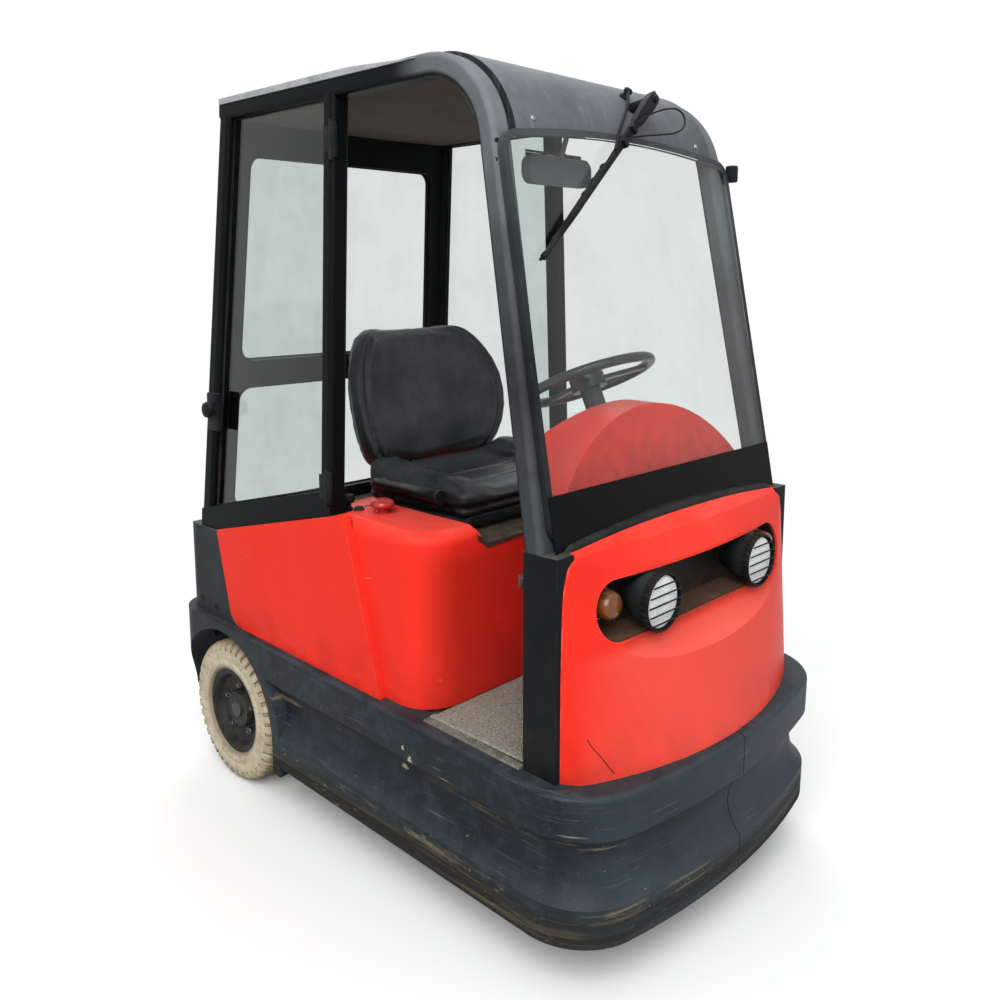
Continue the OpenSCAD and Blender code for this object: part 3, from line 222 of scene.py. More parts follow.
class Finish:
    """One real material, built from a base colour up."""

    def __init__(self, name, colour, rough, **shader):
        self.material = bpy.data.materials.new(name)
        self.material.use_nodes = True
        self.tree = self.material.node_tree
        self.shader = self.tree.nodes["Principled BSDF"]
        self.colour, self.rough, self.normal = srgb(colour), rough, None
        self.place = self.add("ShaderNodeTexCoord").outputs["Object"]
        for socket, value in shader.items():
            self.shader.inputs[socket.replace("_", " ")].default_value = value

    def add(self, kind, sockets=None, **properties):
        return add_node(self.tree, kind, sockets, **properties)

    def stretched(self, x, y, z):
        """The place with each axis scaled, for grain or scrapes that run one way."""
        return self.add("ShaderNodeVectorMath", {0: self.place, 1: (x, y, z)},
                        operation="MULTIPLY").outputs[0]

    def patches(self, size, low, high, detail=4.0, place=None):
        """0 to 1 across soft noise with features of about `size` mm."""
        noise = self.add("ShaderNodeTexNoise",
                         {"Vector": place or self.place, "Scale": per_mm(size), "Detail": detail,
                          "Roughness": NOISE_ROUGHNESS})
        return self.add("ShaderNodeMapRange",
                        {"Value": noise.outputs["Fac"], "From Min": low, "From Max": high}).outputs[0]

    def along(self, axis, start, end):
        """0 at start to 1 at end, in metres along an axis of the frame."""
        part = self.add("ShaderNodeSeparateXYZ", {0: self.place}).outputs[axis]
        return self.add("ShaderNodeMapRange", {"Value": part, "From Min": start, "From Max": end},
                        interpolation_type="SMOOTHSTEP").outputs[0]

    def facing_up(self, low=0.3, high=0.95):
        """1 on faces that look at the sky, where dust settles and, on some finishes, painted light."""
        normal = self.add("ShaderNodeNewGeometry").outputs["Normal"]
        part = self.add("ShaderNodeSeparateXYZ", {0: normal}).outputs["Z"]
        return self.add("ShaderNodeMapRange",
                        {"Value": part, "From Min": low, "From Max": high}).outputs[0]

    def facing(self, direction, low=0.3, high=0.95):
        """1 on faces that look along a direction."""
        normal = self.add("ShaderNodeNewGeometry").outputs["Normal"]
        part = self.add("ShaderNodeVectorMath", {0: normal, 1: Vector(direction).normalized()},
                        operation="DOT_PRODUCT")
        return self.add("ShaderNodeMapRange",
                        {"Value": part.outputs["Value"], "From Min": low, "From Max": high}).outputs[0]

    def spot(self, centre, reach):
        """1 within about `reach` mm of a point, with a ragged edge."""
        away = self.add("ShaderNodeVectorMath", {0: self.place, 1: centre},
                        operation="DISTANCE").outputs["Value"]
        near = self.add("ShaderNodeMapRange",
                        {"Value": away, "From Min": reach / 1000, "From Max": 0.0}).outputs[0]
        ragged = self.both(self.patches(7, 0.3, 0.7), 0.8)
        left = self.add("ShaderNodeMath", {0: near, 1: ragged}, operation="SUBTRACT",
                        use_clamp=True).outputs[0]
        return self.add("ShaderNodeMapRange",
                        {"Value": left, "From Min": 0.0, "From Max": 0.12}).outputs[0]

    def edges(self, radius, low=0.02, high=0.25):
        """1 within about `radius` mm of a sharp edge or corner."""
        smooth = self.add("ShaderNodeBevel", {"Radius": radius / 1000}, samples=4).outputs["Normal"]
        sharp = self.add("ShaderNodeNewGeometry").outputs["Normal"]
        same = self.add("ShaderNodeVectorMath", {0: smooth, 1: sharp},
                        operation="DOT_PRODUCT").outputs["Value"]
        return self.add("ShaderNodeMapRange",
                        {"Value": same, "From Min": 1 - low, "From Max": 1 - high}).outputs[0]

    def both(self, *masks):
        """The product of masks and shares: 1 only where all of them are 1."""
        total = masks[0]
        for mask in masks[1:]:
            total = self.add("ShaderNodeMath", {0: total, 1: mask}, operation="MULTIPLY",
                             use_clamp=True).outputs[0]
        return total

    def coat(self, colour, rough, *masks):
        """Lays a colour, and a roughness unless it is None, where all the masks are 1."""
        mask = self.both(*masks)
        layers = {0: mask, 6: self.colour, 7: srgb(colour)}
        self.colour = self.add("ShaderNodeMix", layers, data_type="RGBA").outputs[2]
        if rough is not None:
            self.rough = self.add("ShaderNodeMix", {0: mask, 2: self.rough, 3: rough}).outputs[0]
        return self

    def relief(self, height, depth):
        """Raises the surface by up to `depth` mm where height is 1."""
        sockets = {"Height": height, "Strength": 1.0, "Distance": depth / 1000}
        if self.normal is not None:
            sockets["Normal"] = self.normal
        self.normal = self.add("ShaderNodeBump", sockets).outputs[0]
        return self

    def done(self):
        for name, value in (("Base Color", self.colour), ("Roughness", self.rough),
                            ("Normal", self.normal)):
            if isinstance(value, bpy.types.NodeSocket):
                self.tree.links.new(value, self.shader.inputs[name])
            elif value is not None:
                self.shader.inputs[name].default_value = value
        return self.material


def dress(material, *names):
    """Gives CAD nodes one finish in place of the one they came with."""
    for name in names:
        slots = NODES[name].data.materials
        slots.clear()
        slots.append(material)
    return material


print("layer tool ready")

# %% [markdown]
# ## Red moulded covers
#
# Cowl, hood and side panels are glass-fibre mouldings with a pigmented gel coat: even bright red, a
# faint orange-peel, fine dull scuffs where boots and bags rub, and dust that greys the upper faces. The
# colour is in the skin, so scratches show pale instead of metal. Painted shade darkens the hood's front
# face, the hollows and the middle of the lamp slot, and a painted highlight lightens the lip below it.

# %% Gel coat
def gel_coat():
    """Even bright red under dull pale scuffs and a film of dust, with painted shade and a painted
    highlight.
    """
    red = Finish("gel_coat_glass_fibre", "#F03628", 0.38, IOR=1.5, Specular_IOR_Level=0.07)
    red.coat("#E62E21", None, red.patches(420, 0.35, 0.7))
    red.coat("#D9746A", 0.55, red.facing_up(0.2, 1.0), red.patches(160, 0.3, 0.8), 0.5)
    red.coat("#8F2A20", 0.5, red.along("Z", 0.62, 0.46), red.patches(90, 0.42, 0.75), 0.45)
    scuff = red.patches(26, 0.66, 0.74, 6, red.stretched(1.0, 0.35, 3.0))
    red.coat("#F58A7C", 0.6, scuff, red.patches(240, 0.5, 0.62), 0.55)
    red.coat("#F37466", 0.5, red.edges(5), red.patches(30, 0.45, 0.6), 0.5)
    # Painted shade with brown dirt: the middle of the lamp slot, under the lamps.
    under = red.both(red.along("Z", 0.708, 0.738), red.along("Z", 0.768, 0.746),
                     red.along("X", -0.33, -0.22), red.along("X", 0.33, 0.22),
                     red.along("Y", -0.60, -0.70))
    red.coat("#7A4030", 0.8, under, red.patches(30, 0.1, 0.6), 0.8)
    # Painted highlight: a lighter lip where the scoop below the lamps faces up and ahead.
    lip = red.both(red.facing((0, -0.5, 0.86), 0.35, 0.75), red.along("Y", -0.74, -0.80),
                   red.along("Z", 0.735, 0.70))
    red.coat("#F0776A", 0.5, lip, 0.4)
    # Painted shade: a darker red on the hood's front face, where the cowl and cab keep the light off.
    painted_shade_on_hood_front = red.both(red.facing((0, -1, 0), 0.5, 0.95), red.along("Y", -0.40, -0.36),
                     red.along("Y", -0.20, -0.32))
    red.coat("#A8241B", 0.5, painted_shade_on_hood_front, red.along("Z", 0.89, 0.80), red.patches(200, 0.0, 0.5), 0.6)
    # Painted shade: a darker red where ambient occlusion finds a hollow.
    hollow = red.add("ShaderNodeAmbientOcclusion", {"Distance": 0.06}, samples=6).outputs["AO"]
    depth = red.add("ShaderNodeMapRange",
                    {"Value": hollow, "From Min": 0.62, "From Max": 0.25}).outputs[0]
    red.coat("#7A2018", 0.6, depth, red.patches(40, 0.2, 0.6), 0.7)
    red.relief(red.patches(7, 0.3, 0.7, 1), 0.05)
    return red.done()


RED = dress(gel_coat(), "front_cowl", "seat_hood", "side_panel_right", "side_panel_left", "dash_console")
print("made", RED.name)

# %% [markdown]
# ## An even skin for the hood
#
# The hood's round corners arrive as flat facets, and a moulding has none. A modifier joins the facets
# and shades across every edge flatter than 30 degrees, while a second one lets large flat faces keep
# their own direction.

# %% Shade the hood smooth
SHARP_EDGE = math.radians(30)
JOIN_WITHIN = 0.00002


def smooth_skin():
    """Joins facets and shades across all edges but the sharp ones."""
    group = bpy.data.node_groups.new("smooth_skin", "GeometryNodeTree")
    for way in ("INPUT", "OUTPUT"):
        group.interface.new_socket("Geometry", in_out=way, socket_type="NodeSocketGeometry")
    solid = add_node(group, "NodeGroupInput").outputs[0]
    joined = add_node(group, "GeometryNodeMergeByDistance",
                      {0: solid, "Distance": JOIN_WITHIN}).outputs[0]
    plain = add_node(group, "GeometryNodeRemoveAttribute",
                     {0: joined, "Name": "custom_normal"}).outputs[0]
    soft = add_node(group, "GeometryNodeSetShadeSmooth", {0: plain}).outputs[0]
    angle = add_node(group, "GeometryNodeInputMeshEdgeAngle").outputs["Unsigned Angle"]
    sharp = add_node(group, "FunctionNodeCompare", {0: angle, 1: SHARP_EDGE},
                     operation="GREATER_THAN").outputs[0]
    creased = add_node(group, "GeometryNodeSetShadeSmooth",
                       {0: soft, "Selection": sharp, "Shade Smooth": False}, domain="EDGE").outputs[0]
    add_node(group, "NodeGroupOutput", {0: creased})
    return group


HOOD = NODES["seat_hood"]
HOOD.modifiers.new("smooth_skin", "NODES").node_group = smooth_skin()
HOOD.modifiers.new("flat_faces_stay_flat", "WEIGHTED_NORMAL").keep_sharp = True
print("hood shaded smooth")

# %% [markdown]
# ## Bumper
#
# The wrap-round bumper is a thick rotation-moulded polyethylene ring. It is made to be hit: the lower
# band is ground down to a brown, dirt-filled fuzz, the edges of the groove carry tan lines where
# pallets slid along, and the hollow between stays dark blue-grey. The scrapes run level, so their noise
# is stretched along the vehicle and squeezed in height.

# %% Rotation-moulded polyethylene
def bumper_plastic():
    """Dark blue-grey, cut by level tan scrapes, with a ground-down, dirty foot and painted light in
    front.
    """
    grey = Finish("rotomoulded_polyethylene", "#20282D", 0.44, IOR=1.5, Specular_IOR_Level=0.1)
    grey.coat("#191F23", 0.5, grey.patches(300, 0.35, 0.7))
    # Painted light: a lighter blue-grey on faces that look ahead.
    grey.coat("#39424A", 0.5, grey.facing((0.1, -1, 0.25), 0.3, 0.95), grey.patches(150, 0.1, 0.65), 0.8)
    grey.coat("#4B5154", 0.66, grey.facing_up(0.3, 0.9), grey.patches(120, 0.3, 0.7), 0.55)
    level = grey.stretched(0.09, 0.09, 2.6)
    grey.coat("#384046", 0.56, grey.patches(48, 0.48, 0.72, 8), 0.55)
    grey.coat("#5A6062", 0.7, grey.patches(13, 0.58, 0.68, 9, level), grey.patches(190, 0.42, 0.6), 0.5)
    grey.coat("#6A6964", 0.8, grey.patches(6, 0.66, 0.74, 4), 0.6)
    worn = grey.patches(170, 0.44, 0.58)
    lines = grey.patches(30, 0.52, 0.60, 9, level)
    crumbs = grey.patches(10, 0.58, 0.66, 8, grey.stretched(0.45, 0.45, 1.5))
    for low, high, share in ((0.318, 0.352, 1.0), (0.170, 0.215, 0.9)):
        zone = grey.both(grey.along("Z", low, low + 0.014), grey.along("Z", high, high - 0.014))
        grey.coat("#7C705C", 0.85, zone, lines, worn, share)
        grey.coat("#8F846F", 0.9, zone, crumbs, worn, share)
    upper = grey.both(grey.along("Z", 0.33, 0.36), grey.along("Z", 0.44, 0.41))
    grey.coat("#8F8470", 0.85, upper, grey.patches(24, 0.60, 0.64, 9, level),
              grey.patches(240, 0.52, 0.6), 0.8)
    ground = grey.along("Z", 0.215, 0.165)
    grey.coat("#2B2824", 0.92, ground, grey.patches(70, 0.34, 0.58, 9, level), 0.9)
    grey.coat("#5B5144", 0.92, ground, grey.patches(40, 0.54, 0.64, 10, level), 0.65)
    grey.coat("#857A66", 0.92, ground, crumbs, grey.patches(90, 0.5, 0.62), 0.6)
    for chip, reach in (((-0.500, -0.303, 0.398), 9), ((-0.500, -0.326, 0.376), 13),
                        ((-0.470, -0.272, 0.329), 16), ((-0.10, -0.905, 0.385), 12),
                        ((-0.02, -0.908, 0.352), 9)):
        grey.coat("#B3A68C", 0.85, grey.spot(chip, reach))
    grey.coat("#B9A88C", 0.8, grey.patches(9, 0.70, 0.74), grey.patches(150, 0.5, 0.6), 0.8)
    grey.relief(grey.patches(1.6, 0.3, 0.7, 2), 0.08)
    grey.relief(grey.both(ground, grey.patches(24, 0.4, 0.62, 6, level)), -1.4)
    return grey.done()


BUMPER = dress(bumper_plastic(), "bumper_right", "bumper_left", "rear_skirt")
print("made", BUMPER.name)

# %% [markdown]
# ## Powder-coated steel and textured plastic
#
# Cab hoop, pillars and rear wall are steel with a satin black powder coat, the rear body is a casting
# under grey enamel, and the roof is a vacuum-formed ABS sheet with a fine grain that dust and painted
# light turn grey from above. Edges of the steel rub to a dull grey and the low parts pick up road film.
# On all of them, faces that look ahead are painted lighter.

# %% Black and grey coats
def powder_coat(name, colour, mottle, front, high, wear="#55585A"):
    """Satin dark paint that greys toward the sky, rubs to dull metal on edges and has painted light
    ahead.
    """
    black = Finish(name, colour, 0.42, IOR=1.5, Specular_IOR_Level=0.06)
    black.coat(mottle, 0.5, black.patches(260, 0.35, 0.7))
    # Painted light: paler on faces that look ahead, and paler still high on the hoop.
    ahead = black.both(black.facing((-0.6, -0.8, 0.4), 0.1, 0.75), black.patches(200, 0.0, 0.6),
                       black.along("Y", -0.20, -0.34))
    black.coat(front, 0.5, ahead, 0.8)
    black.coat(high, 0.55, ahead, black.along("Z", 1.35, 1.85), 0.9)
    black.coat("#72736F", 0.75, black.facing_up(0.2, 0.9), black.patches(110, 0.32, 0.75), 0.6)
    black.coat("#3A352E", 0.8, black.along("Z", 0.95, 0.45), black.patches(70, 0.45, 0.7), 0.25)
    black.coat(wear, 0.5, black.edges(3), black.patches(40, 0.5, 0.62), 0.5)
    black.relief(black.patches(2.2, 0.3, 0.7, 2), 0.06)
    return black.done()


def roof_sheet():
    """A matt grey sheet, paler on faces that look ahead or up: painted light, with dust on top."""
    grey = Finish("vacuum_formed_abs", "#23272A", 0.5, IOR=1.5, Specular_IOR_Level=0.15)
    grey.coat("#2B3033", 0.55, grey.patches(320, 0.35, 0.7))
    # Painted light on faces that look ahead and up; on top the paler grey is also dust.
    grey.coat("#696F73", 0.66, grey.facing((0, -1, 0.9), 0.2, 0.9), grey.patches(240, 0.1, 0.7), 0.9)
    grey.coat("#7A8083", 0.68, grey.facing_up(0.1, 0.95), grey.patches(180, 0.2, 0.8), 0.75)
    grey.coat("#8A8C89", 0.75, grey.patches(60, 0.55, 0.7, 6, grey.stretched(3, 3, 0.3)), 0.25)
    grey.relief(grey.patches(1.8, 0.3, 0.7, 2), 0.1)
    return grey.done()


BLACK = dress(powder_coat("powder_coated_steel", "#07090B", "#0D1012", "#4A4F52", "#757B7E"),
              "cab_side_right", "cab_side_left", "rear_wall", "seat_frame", "steering_column", "wiper",
              "pedals")
dress(powder_coat("black_screen_channel", "#0A0C0E", "#0F1214", "#2F3336", "#4E5356"), "windscreen_frame")
dress(powder_coat("black_enamelled_steel", "#0A0C0E", "#0E1113", "#191C1F", "#3A3F41"), "cowl_posts",
      "lamp_guards")
dress(powder_coat("grey_enamelled_casting", "#2E3335", "#25292B", "#373C3E", "#373C3E"), "rear_body")
ROOF = dress(roof_sheet(), "roof")
print("made", BLACK.name, "and", ROOF.name)

# %% [markdown]
# ## Glass
#
# The panes are 6 mm float glass. Pure refraction would block the lamps in a path tracer, so a shadow
# ray passes straight through, as daylight does. Dust lies on them in faint patches and dried drops. The
# index is set low, because the white stage they mirror is brighter all round than a yard is.

# %% Float glass
def float_glass(name, tint):
    """A clear pane that shows mainly by its dust and dried drops."""
    pane = Finish(name, tint, 0.0, IOR=1.28, Transmission_Weight=1.0)
    pane.coat("#CDD4D1", 0.01, pane.patches(150, 0.42, 0.75, 6), 0.6)
    pane.coat("#BFC4BE", 0.05, pane.patches(8, 0.67, 0.73, 4), 0.5)
    material = pane.done()
    tree = pane.tree
    out = tree.nodes["Material Output"]
    clear = add_node(tree, "ShaderNodeBsdfTransparent", {"Color": srgb(tint)})
    shadow = add_node(tree, "ShaderNodeLightPath").outputs["Is Shadow Ray"]
    mix = add_node(tree, "ShaderNodeMixShader",
                   {0: shadow, 1: pane.shader.outputs[0], 2: clear.outputs[0]})
    tree.links.new(mix.outputs[0], out.inputs["Surface"])
    return material


GLASS = dress(float_glass("float_glass_pane", "#DCE3E1"), "windscreen", "quarter_glass_right",
              "quarter_glass_left", "rear_glass")
print("made", GLASS.name)

# %% [markdown]
# ## Tools for small pieces
#
# Most hardware is either turned, cut from a block or bent from rod. `lathe` turns a profile, `block`
# makes a bevelled bar, `loft` skins a bar through sections, and `piece` links the finished mesh, shades
# it and lets it ride on a body of the frame, so that every piece moves with what carries it.

# %% Piece tools
def smoothstep(low, high, value):
    """0 at low, 1 at high, eased between them."""
    t = min(max((value - low) / (high - low), 0.0), 1.0)
    return t * t * (3 - 2 * t)


def piece(name, bm, material, body="chassis", at=(0, 0, 0), sharp=32):
    """Makes a bmesh into a piece that rides on a body."""
    bmesh.ops.recalc_face_normals(bm, faces=bm.faces)
    mesh = bpy.data.meshes.new(name)
    bm.to_mesh(mesh)
    bm.free()
    mesh.shade_smooth()
    mesh.set_sharp_from_angle(angle=math.radians(sharp))
    mesh.materials.append(material)
    obj = bpy.data.objects.new(name, mesh)
    obj.location = at
    bpy.context.scene.collection.objects.link(obj)
    bpy.context.view_layer.update()
    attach(obj, body)
    return obj


def skin(bm, rings, closed=True):
    """Joins rings of vertices into a surface; a ring of one vertex closes an end."""
    count = max(len(ring) for ring in rings)
    for low, high in zip(rings, rings[1:]):
        for i in range(count if closed else count - 1):
            j = (i + 1) % count
            quad = [low[i % len(low)], low[j % len(low)], high[j % len(high)], high[i % len(high)]]
            corners = list(dict.fromkeys(quad))
            if len(corners) > 2:
                bm.faces.new(corners)


def loft(bm, rings):
    """Skins rings into a solid bar, with both its ends closed."""
    for end in (0, -1):
        bm.faces.new(rings[end])
    skin(bm, rings)


def lathe(bm, profile, matrix, steps=48):
    """Turns a profile of (radius, height) round the matrix's Z axis."""
    rings = []
    for radius, height in profile:
        turns = 1 if radius < 1e-6 else steps
        rings.append([bm.verts.new(matrix @ Vector((radius * math.cos(math.tau * i / turns),
                                                    radius * math.sin(math.tau * i / turns), height)))
                      for i in range(turns)])
    skin(bm, rings)


def block(bm, centre, size, bevel=0.002, turn=None):
    """A bar with bevelled edges."""
    place = Matrix.Translation(centre) @ (turn or Matrix()).to_4x4() @ Matrix.Diagonal((*size, 1.0))
    made = bmesh.ops.create_cube(bm, size=1.0, matrix=place)
    edges = list(dict.fromkeys(edge for vert in made["verts"] for edge in vert.link_edges))
    bmesh.ops.bevel(bm, geom=edges, offset=bevel, segments=2, profile=0.6, affect="EDGES")


def pointing(origin, direction):
    """A matrix at origin whose Z axis points along direction."""
    return Matrix.Translation(origin) @ Vector(direction).to_track_quat("Z", "Y").to_matrix().to_4x4()


def rod(name, points, radius, material, body="chassis"):
    """A bent rod or hose: one smooth curve with a round section."""
    curve = bpy.data.curves.new(name, "CURVE")
    curve.dimensions = "3D"
    curve.bevel_depth = radius
    curve.bevel_resolution = 3
    curve.use_fill_caps = True
    line = curve.splines.new("POLY")
    line.points.add(len(points) - 1)
    for point, place in zip(line.points, points):
        point.co = (*place, 1.0)
    curve.materials.append(material)
    obj = bpy.data.objects.new(name, curve)
    bpy.context.scene.collection.objects.link(obj)
    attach(obj, body)
    return obj


print("piece tools ready")

# %% [markdown]
# ## Tyres
#
# Solid tyres for indoor floors are cast from pale rubber without carbon black, so that they leave no
# marks. A plain ring would look like a toy: the shoulder has some forty notches on each side, set half
# a pitch apart, and dirt packs into them. The ring is skinned from one profile whose shoulder points
# sink at each notch.

# %% Pale non-marking tyres
TYRE_NOTCHES = 40
NOTCH_DEPTH, NOTCH_INSET = 0.0125, 0.004
# Half profile from bead to crown: distance from the middle plane, radius, share of the notch's depth
TYRE_PROFILE = [(0.0480, 0.1250, 0), (0.0535, 0.1300, 0), (0.0560, 0.1390, 0), (0.0560, 0.1500, 0),
                (0.0549, 0.1530, 0), (0.0549, 0.1570, 0), (0.0560, 0.1600, 0), (0.0560, 0.1770, 0),
                (0.0558, 0.1835, 0.25), (0.0548, 0.1900, 0.8), (0.0515, 0.1975, 1), (0.0450, 0.2042, 1),
                (0.0360, 0.2071, 1), (0.0240, 0.2075, 0.9), (0.0160, 0.2075, 0), (0.0060, 0.2075, 0),
                (0.0045, 0.2020, 0), (0.0, 0.2020, 0)]
# Place within one pitch, and whether the notch is open there
NOTCH_STEPS = [(0.0, 1), (0.05, 0), (0.20, 0), (0.48, 0), (0.62, 0), (0.67, 1), (0.84, 1)]


def pale_rubber():
    """Chalky tan with a brown tread and dark dirt packed into the notches."""
    tan = Finish("non_marking_rubber", "#CFC3AB", 0.74, IOR=1.5, Specular_IOR_Level=0.2)
    part = tan.add("ShaderNodeVectorMath", {0: tan.place, 1: (0, 1, 1)}, operation="MULTIPLY").outputs[0]
    radius = tan.add("ShaderNodeVectorMath", {0: part}, operation="LENGTH").outputs["Value"]
    tan.coat("#BFB197", None, tan.patches(60, 0.35, 0.7))
    tan.coat("#9A8D77", 0.85, tan.patches(22, 0.5, 0.62, 8), 0.55)
    worn = tan.add("ShaderNodeMapRange",
                   {"Value": radius, "From Min": 0.196, "From Max": 0.2065}).outputs[0]
    tan.coat("#7E6E55", 0.85, worn, tan.patches(26, 0.25, 0.6))
    outer = tan.add("ShaderNodeMapRange",
                    {"Value": radius, "From Min": 0.168, "From Max": 0.196}).outputs[0]
    tan.coat("#A08E70", 0.85, outer, tan.patches(34, 0.3, 0.6, 6), 0.75)
    low = tan.add("ShaderNodeMapRange",
                  {"Value": radius, "From Min": 0.142, "From Max": 0.128}).outputs[0]
    tan.coat("#6F6350", 0.85, low, 0.75)
    packed = tan.add("ShaderNodeAmbientOcclusion", {"Distance": 0.012}, samples=8).outputs["AO"]
    tan.coat("#5A4B38", 0.9,
             tan.add("ShaderNodeMapRange",
                     {"Value": packed, "From Min": 0.75, "From Max": 0.35}).outputs[0])
    tan.coat("#8E8065", 0.85, tan.patches(14, 0.6, 0.7, 6), 0.6)
    tan.relief(tan.patches(5, 0.3, 0.7, 4), 0.35)
    return tan.done()


def notched_tyre(name, node, centre, body):
    """A ring skinned from the profile, its shoulders sunk at every notch."""
    bm = bmesh.new()
    steps = [(turn + at, is_open) for turn in range(TYRE_NOTCHES) for at, is_open in NOTCH_STEPS]
    whole = TYRE_PROFILE + [(-x, r, cut) for x, r, cut in TYRE_PROFILE[-2::-1]]
    rings = []
    for x, r, cut in whole:
        stagger = 0.5 if x < 0 else 0.0
        ring = []
        for turn, is_open in steps:
            angle = math.tau * (turn + stagger) / TYRE_NOTCHES
            sink = NOTCH_DEPTH * cut * is_open
            side = x - math.copysign(NOTCH_INSET * cut * is_open, x)
            ring.append(bm.verts.new((side, (r - sink) * math.cos(angle), (r - sink) * math.sin(angle))))
        rings.append(ring)
    skin(bm, rings + [rings[0]])
    tyre = piece(name, bm, PALE_RUBBER, body, centre)
    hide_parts(node)
    return tyre


def middle(node):
    """The middle of a node's box."""
    low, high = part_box(node)
    return tuple((a + b) / 2 for a, b in zip(low, high))


PALE_RUBBER = pale_rubber()
WHEELS = {"rear_right": ("wheel_rear_right", -1), "rear_left": ("wheel_rear_left", 1),
          "front": ("wheel_front", 1)}
for wheel, (body, side) in WHEELS.items():
    made = notched_tyre("treaded_tyre_" + wheel, "tyre_" + wheel, middle("tyre_" + wheel), body)
    print(made.name, len(made.data.polygons), "faces")

# %% [markdown]
# ## Rims and nuts
#
# The rims are pressed steel under dark enamel, chipped on the flange and spotted with rust. Real nuts
# are hexagons with a turned chamfer, so each is a six-sided lathe with a washer face and a stud end
# standing out.

# %% Rims and wheel nuts
def rim_enamel():
    """Dark enamel, chipped to grey on its edges and spotted with rust."""
    grey = Finish("enamelled_pressed_steel", "#1E2123", 0.45, IOR=1.5, Specular_IOR_Level=0.12)
    grey.coat("#15181A", 0.55, grey.patches(80, 0.35, 0.7))
    grey.coat("#6B6C69", 0.5, grey.edges(5), grey.patches(20, 0.45, 0.6), 0.8)
    grey.coat("#5A4232", 0.85, grey.patches(24, 0.62, 0.70, 6), 0.7)
    grey.coat("#6A6154", 0.8, grey.patches(50, 0.4, 0.7), 0.22)
    grey.relief(grey.patches(3, 0.3, 0.7, 3), 0.12)
    return grey.done()


def bare_steel(name, colour):
    """Dull plated metal with brown spots."""
    zinc = Finish(name, colour, 0.42, Metallic=0.85)
    zinc.coat("#7C7B77", 0.55, zinc.patches(12, 0.45, 0.7, 5))
    zinc.coat("#6E4A32", 0.85, zinc.patches(16, 0.58, 0.68, 6), 0.8)
    return zinc.done()


dress(rim_enamel(), "rim_rear_right", "rim_rear_left", "rim_front")
STEEL = bare_steel("zinc_plated_steel", "#9A9C9B")
RUSTY = bare_steel("road_stained_steel", "#3B3A38")
NUTS, NUT_RING, NUT_FACE, FIRST_NUT = 5, 0.071, 0.0125, 0.3
for wheel, (body, side) in WHEELS.items():
    centre = Vector(middle("tyre_" + wheel))
    bm = bmesh.new()
    for i in range(NUTS):
        angle = math.tau * i / NUTS + FIRST_NUT
        foot = centre + Vector((side * NUT_FACE, NUT_RING * math.cos(angle), NUT_RING * math.sin(angle)))
        outward = pointing(foot, (side, 0, 0))
        lathe(bm, [(0, 0), (0.0130, 0), (0.0130, 0.003), (0.0105, 0.0035)], outward, 24)
        lathe(bm, [(0.0110, 0.003), (0.0110, 0.0125), (0.0095, 0.0140), (0.0062, 0.0140)], outward, 6)
        lathe(bm, [(0.0062, 0.012), (0.0062, 0.0185), (0.0052, 0.0195), (0, 0.0195)], outward, 16)
    piece("wheel_nuts_" + wheel, bm, RUSTY, body, sharp=25)
print("rims dressed, nuts on", len(WHEELS), "wheels")

# %% [markdown]
# ## Seat
#
# The seat is a foam bucket in black vinyl: a back that wraps round the driver, and a dished cushion
# with raised sides that roll over at the front. Foam under a stretched cover bulges between its seams.
# So each pad starts a little small as a rounded block bent to its form, is remeshed evenly, blown up a
# few millimetres by a cloth simulation with pressure and no gravity, and only then gets its seams
# pressed in, because a remesh wipes them out.

# %% Vinyl
def seat_vinyl():
    """Black with a soft sheen over a fine grain, with painted highlight on faces that look up and ahead.
    """
    vinyl = Finish("upholstery_vinyl", "#14171A", 0.38, IOR=1.5, Specular_IOR_Level=0.16)
    vinyl.coat("#1C2022", 0.34, vinyl.patches(140, 0.35, 0.7))
    # Painted highlight: greyer on faces that look up and ahead.
    vinyl.coat("#454A4B", 0.5, vinyl.facing_up(0.0, 0.9), vinyl.patches(90, 0.3, 0.75), 0.45)
    vinyl.coat("#4B5153", 0.42, vinyl.facing((0.1, -1, 0.25), 0.5, 0.98), vinyl.patches(160, 0.25, 0.7),
               0.7)
    vinyl.coat("#55534D", 0.65, vinyl.patches(9, 0.64, 0.7, 5), vinyl.patches(120, 0.45, 0.6), 0.4)
    # Painted shade: the cushion's side walls darker below its top.
    walls = vinyl.both(vinyl.along("Z", 0.955, 0.920), vinyl.facing_up(0.6, 0.15))
    vinyl.coat("#0C0E10", 0.42, walls, vinyl.patches(60, 0.1, 0.5))
    grain = vinyl.add("ShaderNodeTexVoronoi", {"Vector": vinyl.place, "Scale": per_mm(2.6)},
                      feature="DISTANCE_TO_EDGE")
    vinyl.relief(vinyl.add("ShaderNodeMapRange",
                           {"Value": grain.outputs["Distance"], "From Max": 0.18}).outputs[0], 0.14)
    vinyl.relief(vinyl.patches(45, 0.3, 0.7, 3, vinyl.stretched(0.5, 1.6, 1.0)), 1.0)
    return vinyl.done()


VINYL = seat_vinyl()
print("made", VINYL.name)

# %% [markdown]
# ## Foam
#
# A block with rounded edges is sent point by point through a form. The back narrows toward its top and
# wraps round the driver; the cushion is dished, with raised sides and a rounded front.

# %% Two blocks of foam
SEAT_LEAN = math.radians(11)
SEAT_BACK_FOOT = Vector((0, 0.150, 0.938))
SEAT_BACK_H = 0.407
SEAT_WRAP = 0.480
BACK_HALF = (0.279, 0.0375, SEAT_BACK_H / 2 - 0.004)
